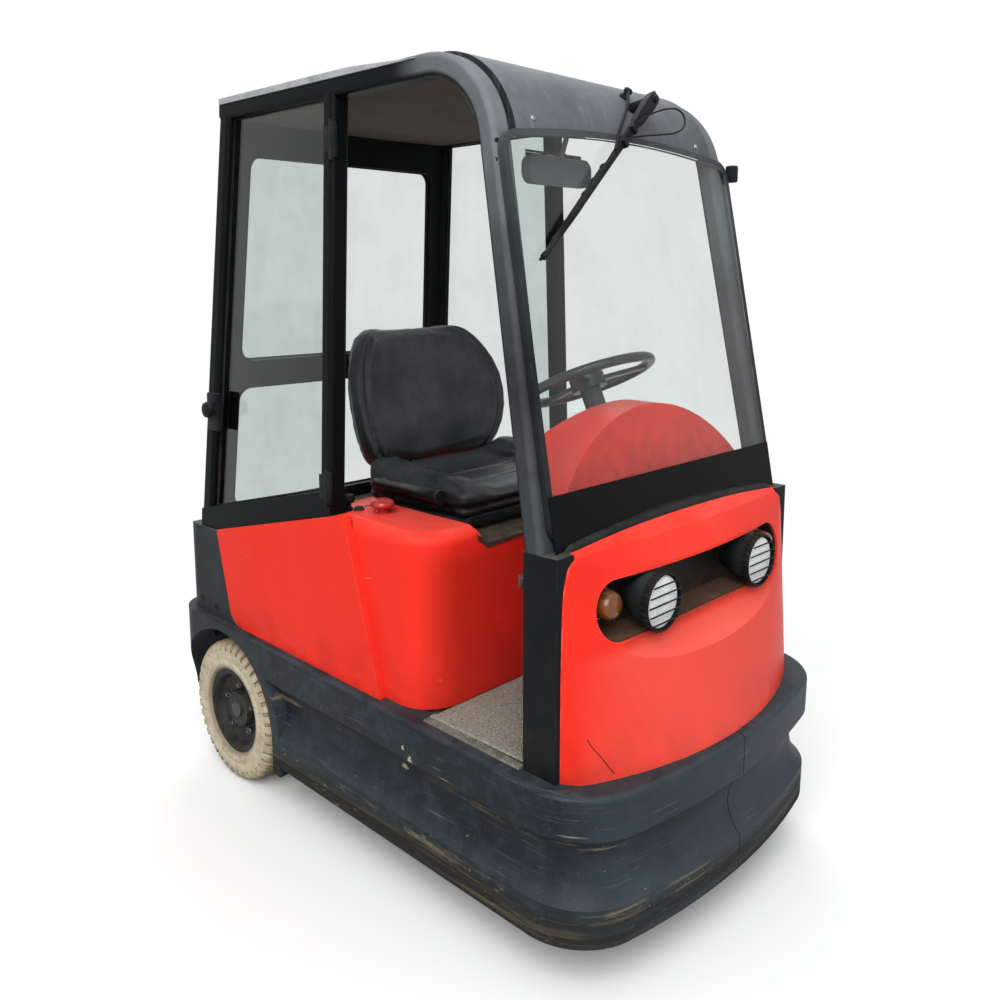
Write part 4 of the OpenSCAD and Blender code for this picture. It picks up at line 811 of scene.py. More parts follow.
# Share of the height, half width of the back there
BACK_WIDTHS = [(0.0, 0.204), (0.05, 0.228), (0.12, 0.250), (0.22, 0.270), (0.34, 0.281), (0.45, 0.284),
               (0.58, 0.280), (0.7, 0.267), (0.8, 0.248), (0.88, 0.226), (0.94, 0.203), (0.98, 0.182),
               (1.0, 0.170)]
CUSHION_MIDDLE = Vector((0, -0.0725, 0.925))
CUSHION_HALF = Vector((0.269, 0.188, 0.048))


def row_value(table, at):
    """Straight-line value of a table of (place, value) rows."""
    for (a, va), (b, vb) in zip(table, table[1:]):
        if at <= b:
            return va + (vb - va) * max(0.0, at - a) / (b - a)
    return table[-1][1]


def foam_block(half, radius, form, cuts=23):
    """A closed block with rounded edges, each point then sent through `form`."""
    bm = bmesh.new()
    bmesh.ops.create_cube(bm, size=2.0)
    bmesh.ops.subdivide_edges(bm, edges=bm.edges[:], cuts=cuts, use_grid_fill=True)
    inner = [side - radius for side in half]
    for vert in bm.verts:
        place = Vector([c * side for c, side in zip(vert.co, half)])
        core = Vector([min(max(c, -side), side) for c, side in zip(place, inner)])
        out = place - core
        vert.co = form(core + out.normalized() * radius if out.length > 1e-9 else place)
    return bm


def back_form(place):
    """Bends the back: narrower to its top, wrapped round the driver, fuller low down."""
    height = min(max(place.z / SEAT_BACK_H + 0.5, 0.0), 1.0)
    x = place.x / BACK_HALF[0] * (row_value(BACK_WIDTHS, height) - 0.005)
    wrap = SEAT_WRAP - math.sqrt(SEAT_WRAP ** 2 - x * x)
    front = smoothstep(0.01, -0.035, place.y)
    puff = 0.014 * math.exp(-((height - 0.32) / 0.22) ** 2) * (1 - min(1, (x / 0.26) ** 2))
    depth = 0.042 + place.y - wrap - front * puff
    local = Vector((x, depth, place.z + SEAT_BACK_H / 2))
    return SEAT_BACK_FOOT + Matrix.Rotation(-SEAT_LEAN, 3, "X") @ local


def cushion_form(place):
    """Bends the cushion: a dish between raised sides, rolled over at the front."""
    u, v = place.x / CUSHION_HALF.x, place.y / CUSHION_HALF.y
    upper = smoothstep(-0.2, 1.0, place.z / CUSHION_HALF.z)
    dish = -0.034 * (1 - smoothstep(0.42, 0.84, abs(u))) * (1 - 0.45 * smoothstep(0.5, 1.0, -v))
    roll = -0.020 * smoothstep(0.55, 1.0, -v) + 0.020 * smoothstep(0.55, 0.9, abs(u)) * smoothstep(-0.3,
                                                                                                   0.8, v)
    roll += 0.026 * smoothstep(0.45, 0.95, v) * (1 - smoothstep(0.5, 0.85, abs(u)))
    pinch = 1 - 0.05 * smoothstep(0.0, 1.0, -v)
    return CUSHION_MIDDLE + Vector((place.x * pinch, place.y, place.z + upper * (dish + roll)))


print("foam blocks: back", SEAT_BACK_H, "m tall, cushion", round(2 * CUSHION_HALF.x, 3), "m wide")

# %% [markdown]
# ## Covers
#
# Cloth pressure swells each remeshed pad by at most a few millimetres, which gives the full, slightly
# uneven faces of a stuffed cover. The seams are pressed in afterwards.

# %% Covers blown up by cloth
def only_active(obj):
    """Makes one object the target of the next operator."""
    bpy.ops.object.select_all(action="DESELECT")
    obj.select_set(True)
    bpy.context.view_layer.objects.active = obj


def blow_up(obj, voxel=0.005, pressure=4.0, frames=16, cap=0.006):
    """Remeshes a pad evenly and lets cloth pressure swell it by at most `cap` metres."""
    only_active(obj)
    obj.data.remesh_voxel_size = voxel
    bpy.ops.object.voxel_remesh()
    start = [vert.co.copy() for vert in obj.data.vertices]
    cloth = obj.modifiers.new("stuffing", "CLOTH")
    cloth.settings.use_pressure = True
    cloth.settings.uniform_pressure_force = pressure
    cloth.settings.effector_weights.gravity = 0.0
    cloth.settings.tension_stiffness = cloth.settings.compression_stiffness = 15
    cloth.settings.quality = 5
    cloth.point_cache.frame_start, cloth.point_cache.frame_end = 1, frames
    for step in range(1, frames + 1):
        bpy.context.scene.frame_set(step)
    swollen = obj.evaluated_get(bpy.context.evaluated_depsgraph_get()).to_mesh()
    moved = [vert.co.copy() for vert in swollen.vertices]
    obj.modifiers.remove(cloth)
    bpy.context.scene.frame_set(1)
    for vert, a, b in zip(obj.data.vertices, start, moved):
        step = b - a
        vert.co = a + step * min(1.0, cap / max(step.length, 1e-9))


def press_seams(obj, seam_distance, depth=0.0050, width=0.0065):
    """Sinks the cover along its seams and lets it stand up beside them."""
    normals = [vert.normal.copy() for vert in obj.data.vertices]
    for vert, normal in zip(obj.data.vertices, normals):
        away, share = seam_distance(vert.co)
        if away < 5 * width:
            swell = 0.35 * math.exp(-((away - 2.2 * width) / width) ** 2)
            vert.co += normal * depth * share * (swell - math.exp(-(away / width) ** 2))


def soft_pad(name, node, bm, seams):
    """One stuffed pad in place of a solid: blown up, seamed and smoothed."""
    pad = piece(name, bm, VINYL, sharp=180)
    blow_up(pad)
    press_seams(pad, seams)
    pad.data.shade_smooth()
    fine = pad.modifiers.new("even_skin", "SUBSURF")
    fine.levels = fine.render_levels = 1
    only_active(pad)
    bpy.ops.object.modifier_apply(modifier=fine.name)
    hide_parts(node)
    print(name, len(pad.data.polygons), "faces")
    return pad


def back_seams(place):
    """The welt a thumb's width inside the rim of the back's face."""
    local = Matrix.Rotation(SEAT_LEAN, 3, "X") @ (place - SEAT_BACK_FOOT)
    height = min(max(local.z / SEAT_BACK_H, 0.0), 1.0)
    wrap = SEAT_WRAP - math.sqrt(max(SEAT_WRAP ** 2 - local.x ** 2, 0.01))
    if local.y > 0.050 - wrap:
        return abs(local.y + wrap - 0.066), 0.5
    rim = row_value(BACK_WIDTHS, height) - abs(local.x)
    return abs(rim - 0.034), 1.0 if height < 0.97 else 0.0


def cushion_seams(place):
    """The boxing seam round the sides, and the lengthwise and cross seams on top."""
    local = place - CUSHION_MIDDLE
    boxing = abs(place.z - 0.908)
    if abs(local.x) > 0.245 or local.y < -0.158:
        return boxing, 0.8
    side = abs(abs(local.x) - 0.158 + 0.02 * local.y / CUSHION_HALF.y)
    cross = min(abs(local.y - at + 0.25 * local.x ** 2) for at in (-0.075, 0.02))
    return (side, 1.0) if side < cross or abs(local.x) > 0.158 else (cross, 0.8)


soft_pad("vinyl_seat_back", "seat_back", foam_block(BACK_HALF, 0.030, back_form), back_seams)
soft_pad("vinyl_seat_cushion", "seat_cushion", foam_block(CUSHION_HALF, 0.026, cushion_form),
         cushion_seams)

# %% [markdown]
# ## Rubber, castings and plastics
#
# The rest of the frame is made of a few common things: a mat of recycled rubber with pale flecks,
# castings and forged steel that rust where the paint is rubbed away, glass-filled nylon that greys in
# the sun, and a steering wheel of self-skinning polyurethane polished by hands. Each gets its own base
# and its own kind of wear.

# %% Finishes of the remaining solids
def mat_rubber():
    """Matt grey-green with pale and dark flecks and dirty edges."""
    rubber = Finish("flecked_recycled_rubber", "#787B6F", 0.85, IOR=1.5, Specular_IOR_Level=0.2)
    rubber.coat("#888B7F", 0.9, rubber.patches(240, 0.3, 0.7))
    rubber.coat("#999B8F", 0.95, rubber.patches(5, 0.50, 0.56, 2))
    rubber.coat("#55534E", 0.9, rubber.patches(6, 0.60, 0.64, 2, rubber.stretched(1.0, 1.3, 1.0)))
    rubber.coat("#C4C0B6", 0.9, rubber.patches(7, 0.66, 0.70, 2, rubber.stretched(1.2, 0.9, 1.0)))
    rubber.coat("#6B5C48", 0.95, rubber.patches(60, 0.56, 0.7, 6), 0.4)
    sides = {0: rubber.along("X", -0.4460, -0.4485), 1: rubber.along("X", 0.4460, 0.4485)}
    tread = rubber.add("ShaderNodeMath", sides, operation="ADD", use_clamp=True).outputs[0]
    rubber.coat("#4F4A43", 0.9, tread, rubber.patches(25, 0.1, 0.6), 0.8)
    rubber.relief(rubber.patches(5, 0.3, 0.7, 3), 0.6)
    return rubber.done()


def cast_iron(name, colour, bare):
    """Rough dark paint with bare edges, rust and dust."""
    iron = Finish(name, colour, 0.6, IOR=1.5)
    iron.coat("#26292A", 0.7, iron.patches(60, 0.4, 0.7))
    iron.coat(bare, 0.45, iron.edges(4), iron.patches(18, 0.4, 0.58), 0.9)
    iron.coat("#6B4029", 0.9, iron.patches(30, 0.52, 0.66, 6), 0.85)
    iron.coat("#77695A", 0.9, iron.facing_up(0.3, 0.9), iron.patches(50, 0.35, 0.7), 0.5)
    iron.relief(iron.patches(3, 0.3, 0.7, 3), 0.25)
    return iron.done()


def filled_nylon(name, colour, dusty="#6E6F6C"):
    """Plastic or rubber that has lost its gloss and holds pale dust."""
    nylon = Finish(name, colour, 0.46, IOR=1.53, Specular_IOR_Level=0.06)
    nylon.coat(dusty, 0.56, nylon.patches(70, 0.35, 0.7), 0.3)
    nylon.coat(dusty, 0.8, nylon.facing_up(0.2, 0.9), nylon.patches(50, 0.3, 0.7), 0.6)
    nylon.coat("#585A59", 0.5, nylon.edges(2), nylon.patches(18, 0.45, 0.6), 0.4)
    nylon.relief(nylon.patches(1.5, 0.3, 0.7, 2), 0.07)
    return nylon.done()


def skin_foam():
    """A black rim with patches polished by hands."""
    grip = Finish("self_skinning_polyurethane", "#1E2021", 0.4, IOR=1.5)
    grip.coat("#2A2B2B", 0.26, grip.patches(45, 0.4, 0.65))
    grip.coat("#55514A", 0.7, grip.patches(12, 0.58, 0.7, 5), 0.4)
    grip.relief(grip.patches(1.8, 0.3, 0.7, 2), 0.1)
    return grip.done()


def dusty_tray():
    """A dark hollow with brown dust lying in it."""
    tray = Finish("dust_filled_polypropylene", "#191817", 0.6, IOR=1.5, Specular_IOR_Level=0.2)
    tray.coat("#26221F", 0.7, tray.patches(60, 0.35, 0.7))
    tray.coat("#5E4333", 0.95, tray.facing_up(0.2, 0.8), tray.patches(45, 0.1, 0.55), 0.9)
    tray.coat("#4A3629", 0.95, tray.along("Z", 0.80, 0.74), tray.patches(30, 0.3, 0.65), 0.6)
    return tray.done()


def coloured_acrylic(name, colour, deep):
    """A shiny skin over deep colour, dulled by dust on top."""
    lens = Finish(name, colour, 0.14, IOR=1.49, Transmission_Weight=0.25)
    lens.coat(deep, 0.24, lens.patches(30, 0.4, 0.7))
    lens.coat("#7A6A58", 0.7, lens.facing_up(0.1, 0.9), lens.patches(25, 0.35, 0.7), 0.55)
    return lens.done()


NYLON = filled_nylon("glass_filled_nylon", "#121517", "#3C3F40")
GREY_PLASTIC = filled_nylon("sun_greyed_polypropylene", "#5E6566", "#8B9293")
CASTING = cast_iron("painted_cast_iron", "#2B2F30", "#7B7974")
RUBBER = filled_nylon("weathered_epdm_rubber", "#111213", "#3E3D3A")
SEAM_BLACK = filled_nylon("ceramic_print_on_glass", "#050608", "#0D0E10")
RED_LENS = coloured_acrylic("red_acrylic", "#9C1712", "#7C100D")
AMBER = coloured_acrylic("amber_acrylic", "#8A4A18", "#5E2E0E")
MAT_RUBBER = dress(mat_rubber(), "floor_mat")
dress(CASTING, "drive_axle", "tow_hitch", "steer_fork", "battery")
dress(BLACK, "chassis")
dress(dusty_tray(), "lamp_tray")
dress(STEEL, "hitch_pin")
dress(skin_foam(), "steering_wheel")
dress(GREY_PLASTIC, "cab_mirror")
dress(RED_LENS, "rear_lamps")
dress(coloured_acrylic("signal_red_polyamide", "#C2222A", "#A81A20"), "stop_button")
print("dressed the remaining solids")

# %% [markdown]
# ## Headlamps and indicators
#
# Each work lamp is a black bowl with a polished reflector and a pressed lens whose flutes spread the
# beam. A flat white disc would never glint like that, so reflector and lens are real shapes: the bowl
# is turned, and the lens is a grid squeezed into a disc, so that its straight flutes can be modelled.
# The indicators are domes with prism rings. The lenses are painted nearly white, in place of the
# daylight their reflectors throw back through clear glass.

# %% Lamps in their tray
def chrome_finish():
    """A bright, slightly soft mirror."""
    chrome = Finish("vacuum_metallised_reflector", "#F2F3F3", 0.34, Metallic=1.0)
    chrome.coat("#DADBDB", 0.42, chrome.patches(14, 0.45, 0.7, 4))
    return chrome.done()


def lens_with_painted_reflection():
    """Nearly white, as a lens looks in daylight: its reflector's light is painted into the colour."""
    # Painted reflection: a nearly white, mostly opaque lens in place of clear glass lit by its reflector.
    lens = Finish("pressed_lens_painted_white", "#F4F5F5", 0.16, IOR=1.5, Transmission_Weight=0.12)
    lens.coat("#E2E4E3", 0.24, lens.patches(30, 0.4, 0.7))
    lens.coat("#A8A49A", 0.5, lens.patches(11, 0.6, 0.7, 5), 0.4)
    return lens.done()


def pressed_lens(bm, matrix, radius, back, front, flute=0.0075, cells=56):
    """A closed lens: a flat back and a crowned face with straight flutes."""
    grids = []
    for height, crown in ((back, 0.0), (front, 0.008)):
        grid = {}
        for i in range(cells + 1):
            for j in range(cells + 1):
                u, v = 2 * i / cells - 1, 2 * j / cells - 1
                x, y = u * math.sqrt(1 - v * v / 2), v * math.sqrt(1 - u * u / 2)
                share = max(0.0, 1 - x * x - y * y)
                wave = 0.0009 * math.cos(math.tau * x * radius / flute) * min(1.0,
                                                                              share * 6) if crown else 0.0
                grid[i, j] = bm.verts.new(matrix @ Vector((x * radius, y * radius, height + crown * share
                                                           + wave)))
        grids.append(grid)
    for grid in grids:
        for i in range(cells):
            for j in range(cells):
                bm.faces.new((grid[i, j], grid[i + 1, j], grid[i + 1, j + 1], grid[i, j + 1]))
    rim = [(i, 0) for i in range(cells)] + [(cells, j) for j in range(cells)]
    rim += [(i, cells) for i in range(cells, 0, -1)] + [(0, j) for j in range(cells, 0, -1)]
    skin(bm, [[grids[0][at] for at in rim], [grids[1][at] for at in rim]])


LAMP_LOW, LAMP_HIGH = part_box("headlamps")
LAMP_R = 0.059
CHROME = chrome_finish()
GUARD_BLACK = filled_nylon("wire_guard_enamel", "#0B0C0D", "#2E2F2E")
LENS_GLASS = lens_with_painted_reflection()
for side, x in (("right", LAMP_LOW[0] + LAMP_R), ("left", LAMP_HIGH[0] - LAMP_R)):
    axis = pointing((x, LAMP_HIGH[1], (LAMP_LOW[2] + LAMP_HIGH[2]) / 2), (0, -1, 0))
    bm = bmesh.new()
    lathe(bm, [(0, 0), (0.026, 0), (0.030, 0.004), (0.034, 0.016), (0.040, 0.024), (0.0585, 0.062),
               (0.0585, 0.094), (0.0575, 0.096), (0.0566, 0.096), (0.0562, 0.093), (0.0548, 0.060),
               (0.034, 0.032), (0, 0.030)], axis, 64)
    bowl = piece("lamp_bowl_" + side, bm, NYLON)
    if side == "right":
        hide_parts("headlamps")
    bm = bmesh.new()
    lathe(bm, [(0.0546, 0.0880), (0.0515, 0.078), (0.044, 0.066), (0.032, 0.055), (0.018, 0.048),
               (0.0085, 0.0465), (0.0085, 0.060), (0.006, 0.066), (0, 0.067)], axis, 64)
    piece("lamp_reflector_" + side, bm, CHROME)
    bm = bmesh.new()
    pressed_lens(bm, axis, 0.0560, 0.0920, 0.0960)
    piece("lamp_lens_" + side, bm, LENS_GLASS, sharp=60)

GUARD_LOW, GUARD_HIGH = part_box("lamp_guards")
GUARD_R, GUARD_KNURLS, GUARD_BAR_PITCH = 0.066, 30, 0.0205
GUARD_Z = (GUARD_LOW[2] + GUARD_HIGH[2]) / 2
for side, x in (("right", GUARD_LOW[0] + GUARD_R), ("left", GUARD_HIGH[0] - GUARD_R)):
    axis = pointing((x, GUARD_HIGH[1], GUARD_Z), (0, -1, 0))
    bm = bmesh.new()
    lathe(bm, [(0.0600, 0.001), (0.0635, 0.001), (0.0640, 0.004), (0.0640, 0.017), (0.0622, 0.0195),
               (0.0600, 0.0195), (0.0592, 0.016), (0.0592, 0.003), (0.0600, 0.001)], axis, 64)
    for i in range(GUARD_KNURLS):
        angle = math.tau * i / GUARD_KNURLS
        spot = Vector((x, GUARD_HIGH[1] - 0.009, GUARD_Z)) + Vector((math.cos(angle), 0,
                                                                     math.sin(angle))) * 0.0640
        block(bm, spot, (0.0034, 0.015, 0.0040), 0.0007, Matrix.Rotation(-angle, 3, "Y"))
    for k in range(-2, 3):
        high = GUARD_BAR_PITCH * k
        reach = math.sqrt(0.0612 ** 2 - high ** 2)
        block(bm, (x, GUARD_LOW[1] + 0.0030, GUARD_Z + high), (2 * reach, 0.0030, 0.0030), 0.0010)
    guard = piece("lamp_guard_" + side, bm, GUARD_BLACK, sharp=40)
    if side == "right":
        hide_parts("lamp_guards")

IND_LOW, IND_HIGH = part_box("indicators")
CLEAR_FOOT = coloured_acrylic("clouded_polycarbonate", "#A8A49B", "#8C857A")
IND_R, PRISM_RINGS, PRISM_PITCH = 0.032, 7, 0.0055
for side, x in (("right", IND_LOW[0] + IND_R), ("left", IND_HIGH[0] - IND_R)):
    axis = pointing((x, IND_HIGH[1], (IND_LOW[2] + IND_HIGH[2]) / 2), (0, -1, 0))
    bm = bmesh.new()
    steps = [(0, 0), (0.030, 0)]
    for k in range(PRISM_RINGS):
        steps += [(0.0318, 0.006 + k * PRISM_PITCH), (0.0306, 0.0088 + k * PRISM_PITCH)]
    dome = [(0.0305, 0.046), (0.029, 0.052), (0.0245, 0.0585), (0.0175, 0.062), (0.009, 0.0636),
            (0, 0.064)]
    for (ra, ha), (rb, hb) in zip(dome, dome[1:]):
        steps += [(ra, ha), ((ra + rb) / 2, (ha + hb) / 2 - 0.0007)]
    lathe(bm, steps + [(0, 0.0635)], axis, 48)
    shell = piece("indicator_dome_" + side, bm, AMBER, sharp=50)
    if side == "right":
        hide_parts("indicators")
    bm = bmesh.new()
    lathe(bm, [(0.0300, 0.001), (0.0345, 0.001), (0.0345, 0.020), (0.0335, 0.024), (0.0300, 0.024)],
          axis, 48)
    piece("indicator_base_" + side, bm, CLEAR_FOOT)
print("lamps built")

# %% [markdown]
# ## Windscreen print, cowl trim and seals
#
# A windscreen is glued or clipped into a rubber profile, and its foot is printed black so that nobody
# sees the glue. The print is a thin sheet on the pane. Along the top of the cowl lies a fat rubber lip
# that has dulled and picked up grit. The seals follow the panes themselves: their outline is read from
# the loaded solids.

# %% Print, lip and seals
SCREEN_RAKE = math.radians(11)
SCREEN_FOOT_Y, SCREEN_FOOT_Z = -0.694, 0.930
SEAL_R = 0.0045


def on_screen(x, out, up):
    """A point of the raked windscreen: `out` along its normal, `up` along its slope."""
    return Vector((x, SCREEN_FOOT_Y + out * math.cos(SCREEN_RAKE) + up * math.sin(SCREEN_RAKE),
                   SCREEN_FOOT_Z - out * math.sin(SCREEN_RAKE) + up * math.cos(SCREEN_RAKE)))


bm = bmesh.new()
rings = []
for k in range(49):
    t = k / 24 - 1
    foot = 0.033 * (1 - t * t) - 0.004 * t * t
    rings.append([bm.verts.new(on_screen(0.438 * t, out, up)) for out, up in
                  ((-0.0176, foot), (-0.0176, 0.112), (-0.0162, 0.112), (-0.0162, foot))])
skin(bm, rings)
piece("windscreen_print", bm, SEAM_BLACK)

bm = bmesh.new()
rings = []
for k in range(61):
    x = 0.440 * (k / 30 - 1)
    crown = Vector((x, -0.711, 0.950 - x * x / 8.6 - 0.030 * smoothstep(0.39, 0.455, abs(x))))
    rings.append([bm.verts.new(crown + Vector((0, y, z))) for y,
                  z in ((-0.013, -0.006), (-0.014, 0.001), (-0.010, 0.008), (-0.001, 0.011),
                        (0.012, 0.012), (0.026, 0.008), (0.026, -0.006))])
loft(bm, rings)
piece("cowl_top_lip", bm, RUBBER, sharp=50)


def rim_loops(node, outward):
    """Outlines of the faces of a solid that look along `outward`, as closed lists of points."""
    bm = bmesh.new()
    bm.from_mesh(NODES[node].data)
    bmesh.ops.remove_doubles(bm, verts=bm.verts, dist=JOIN_WITHIN)
    bm.normal_update()
    facing = {face for face in bm.faces if face.normal.dot(Vector(outward)) > 0.85}
    rim = [edge for edge in bm.edges if sum(face in facing for face in edge.link_faces) == 1]
    loops, todo = [], dict.fromkeys(rim)
    while todo:
        edge = next(iter(todo))
        del todo[edge]
        first, here = edge.verts
        points = [first.co.copy(), here.co.copy()]
        while here is not first:
            edge = next((e for e in here.link_edges if e in todo), None)
            if edge is None:
                break
            del todo[edge]
            here = edge.other_vert(here)
            points.append(here.co.copy())
        loops.append(points[:-1])
    bm.free()
    return loops


for node, outward in (("quarter_glass_right", (-1, 0, 0)), ("quarter_glass_left", (1, 0, 0)),
                      ("rear_glass", (0, 1, 0))):
    for n, loop in enumerate(rim_loops(node, outward)):
        if len(loop) > 3:
            seal = rod("seal_%s_%d" % (node, n), loop, SEAL_R, RUBBER)
            seal.data.splines[0].use_cyclic_u = True
            print(seal.name, len(loop), "points")

# %% [markdown]
# ## Wiper and washer hose
#
# The wiper hangs from a spindle above the windscreen. Its arm is a pressed channel with a spring, and
# the blade is a thin carrier with claws that hold a rubber lip. A thin washer hose makes one free loop
# beside the spindle and is clipped to the arm at both ends. It is a real length of tube, so it is one
# smooth open curve.

# %% Arm, blade and hose
SPINDLE_X, SPINDLE_UP, SWEEP = 0.080, 0.965, math.radians(229.7)


def on_wiper(along, across, out):
    """A point measured along the arm from its spindle, across it, and out from the glass plane."""
    x = SPINDLE_X + along * math.sin(SWEEP) + across * math.cos(SWEEP)
    up = SPINDLE_UP + along * math.cos(SWEEP) - across * math.sin(SWEEP)
    return on_screen(x, out, up)


def bar_along(bm, stations):
    """Skins a bar through stations of (along, half width, inner, outer), measured on the wiper."""
    rings = []
    for along, half, inner, outer in stations:
        ring = [(-half, inner), (half, inner), (half, outer), (half * 0.6, outer - 0.0015),
                (-half * 0.6, outer - 0.0015), (-half, outer)]
        rings.append([bm.verts.new(on_wiper(along, across, out)) for across, out in ring])
    loft(bm, rings)


bm = bmesh.new()
bar_along(bm, [(-0.026, 0.010, -0.030, -0.044), (-0.010, 0.015, -0.030, -0.049),
               (0.020, 0.0155, -0.030, -0.050), (0.090, 0.0125, -0.031, -0.047),
               (0.105, 0.009, -0.032, -0.043), (0.25, 0.0070, -0.033, -0.040),
               (0.40, 0.0055, -0.033, -0.038), (0.418, 0.0045, -0.032, -0.036)])
head = pointing(on_wiper(0, 0, 0.0), on_wiper(0, 0, -1.0) - on_wiper(0, 0, 0.0))
lathe(bm, [(0, -0.062), (0.017, -0.062), (0.017, -0.050), (0.0125, -0.044), (0.0125, 0.028),
           (0.0155, 0.030), (0.0155, 0.046), (0.013, 0.050), (0.0085, 0.052), (0.0085, 0.058),
           (0, 0.059)], head, 32)
arm = piece("wiper_arm", bm, NYLON, sharp=30)
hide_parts("wiper")

bm = bmesh.new()
bar_along(bm, [(0.252, 0.0045, -0.025, -0.031), (0.33, 0.005, -0.027, -0.034),
               (0.414, 0.0065, -0.027, -0.037), (0.50, 0.005, -0.027, -0.034),
               (0.582, 0.0045, -0.025, -0.031)])
for claw in (0.262, 0.313, 0.364, 0.466, 0.517, 0.572):
    bar_along(bm, [(claw - 0.006, 0.0062, -0.0205, -0.0285), (claw + 0.006, 0.0062, -0.0205, -0.0285)])
piece("wiper_carrier", bm, NYLON, sharp=30)
bm = bmesh.new()
bar_along(bm, [(0.250 + 0.334 * k / 20, 0.0022, -0.0172, -0.0235) for k in range(21)])
piece("wiper_lip", bm, RUBBER, sharp=30)


def smooth_route(knots, count):
    """A Catmull-Rom curve through the knots, resampled to `count` points."""
    points = []
    ends = [knots[0] * 2 - knots[1]] + knots + [knots[-1] * 2 - knots[-2]]
    for a, b, c, d in zip(ends, ends[1:], ends[2:], ends[3:]):
        for k in range(24):
            t = k / 24
            points.append(0.5 * (2 * b + (c - a) * t + (2 * a - 5 * b + 4 * c - d) * t * t
                                 + (3 * b - a - 3 * c + d) * t ** 3))
    points.append(knots[-1])
    gone = [0.0]
    for a, b in zip(points, points[1:]):
        gone.append(gone[-1] + (b - a).length)
    route = []
    for k in range(count):
        want = gone[-1] * k / (count - 1)
        i = max(j for j in range(len(gone)) if gone[j] <= want + 1e-9)
        i = min(i, len(points) - 2)
        share = (want - gone[i]) / max(gone[i + 1] - gone[i], 1e-9)
        route.append(points[i].lerp(points[i + 1], share))
    return route, gone[-1]


# Places on the wiper (along, across, out) that the hose passes, from clip to clip
HOSE_PLACES = [(0.128, 0.004, -0.047), (0.090, 0.001, -0.051), (0.035, -0.016, -0.055),
               (-0.020, -0.042, -0.058), (-0.050, -0.066, -0.060), (-0.055, -0.090, -0.061),
               (-0.032, -0.104, -0.061), (0.010, -0.092, -0.060), (0.060, -0.062, -0.058),
               (0.110, -0.030, -0.054), (0.150, -0.006, -0.049), (0.180, 0.003, -0.046)]
hose_knots = [on_wiper(*place) for place in HOSE_PLACES]
route, HOSE_LENGTH = smooth_route(hose_knots, 40)
hose = rod("washer_hose", route, 0.0022, RUBBER)
bm = bmesh.new()
for along in (0.124, 0.178):
    bar_along(bm, [(along - 0.005, 0.0105, -0.0390, -0.0510), (along + 0.005, 0.0105, -0.0390, -0.0510)])
clip = piece("hose_clip", bm, NYLON)
print("washer hose", round(HOSE_LENGTH, 3), "m")

bm = bmesh.new()
LINK_FOOT, LINK_WAY = Vector((0.0956, -0.4582, 1.9044)), Vector((0, -0.63, 0.78))
lathe(bm, [(0, -0.004), (0.013, -0.004), (0.013, 0.006), (0.0085, 0.008), (0.0085, 0.014),
           (0.011, 0.015), (0.011, 0.022), (0.008, 0.025), (0, 0.026)], pointing(LINK_FOOT, LINK_WAY), 28)
link_top = LINK_FOOT + LINK_WAY * 0.020
piece("wiper_link_pivot", bm, NYLON)
link_end = on_wiper(0.215, 0.009, -0.043)
rod("wiper_link", [link_top, link_top.lerp(link_end, 0.3) + Vector((0, -0.008, 0.0)),
                   link_top.lerp(link_end, 0.7), link_end], 0.0040, NYLON)

# %% [markdown]
# ## Headliner and cab hardware
#
# Under the roof hangs a needle-felt headliner, brown with age. Strap hinges carry the glazed side on
# the door post, a small turned knob latches it at the rear, rivets hold the visor, and screws sit in
# the front pillars. They are tiny, but a cab without them looks like a toy.

# %% Felt, hinges and screws
def headliner_felt():
    """Brown fuzz that swallows light."""
    felt = Finish("needle_felt", "#5C5850", 0.95, IOR=1.5, Specular_IOR_Level=0.1)
    felt.coat("#504C45", None, felt.patches(180, 0.35, 0.7))
    felt.coat("#6E695F", None, felt.patches(3, 0.5, 0.62, 3))
    felt.relief(felt.patches(2.5, 0.3, 0.7, 3), 0.3)
    return felt.done()


def roof_metal():
    """Pale sheet metal, oxidised in blotches."""
    sheet = Finish("weathered_aluminium_sheet", "#A6A9AA", 0.55, Metallic=0.35)
    sheet.coat("#8E9192", 0.65, sheet.patches(40, 0.4, 0.7, 5))
    sheet.coat("#6F716F", 0.75, sheet.patches(60, 0.52, 0.66, 6), 0.6)
    return sheet.done()


FELT, EDGE_METAL = headliner_felt(), roof_metal()
bm = bmesh.new()
LINER_X, LINER_FRONT, LINER_REAR, LINER_Z = 0.395, -0.290, 0.560, 1.905
LINER_BEND, LINER_SAG, LINER_THICK = 0.165, 0.006, 0.004
profile = [(LINER_REAR, LINER_Z)] + [(LINER_FRONT + 0.02 * (10 - k), LINER_Z) for k in range(11)]
for k in range(1, 9):
    turn = math.radians(8.2 * k)
    profile.append((LINER_FRONT - LINER_BEND * math.sin(turn),
                    LINER_Z - LINER_BEND * (1 - math.cos(turn))))
rings = []
for y, z in profile:
    shares = [i / 10 - 1 for i in range(21)]
    rings.append([bm.verts.new((LINER_X * t, y, z - LINER_SAG * (1 - t ** 2))) for t in shares])
skin(bm, rings, closed=False)
bm.normal_update()
bmesh.ops.solidify(bm, geom=bm.faces[:], thickness=LINER_THICK)
piece("felt_headliner", bm, FELT)

bm = bmesh.new()
for side in (-1, 1):
    for x, z in ((0.4215, 1.800), (0.4625, 0.955)):
        block(bm, (side * x, 0.034, z), (0.009, 0.030, 0.064), 0.002)
        block(bm, (side * (x - 0.001), 0.012, z), (0.011, 0.014, 0.084), 0.003)
        lathe(bm, [(0, -0.047), (0.006, -0.047), (0.006, 0.047), (0, 0.047)],
              pointing((side * (x + 0.004), 0.018, z), (-0.04 * side, 0, 1)), 20)
piece("door_post_hinges", bm, NYLON)

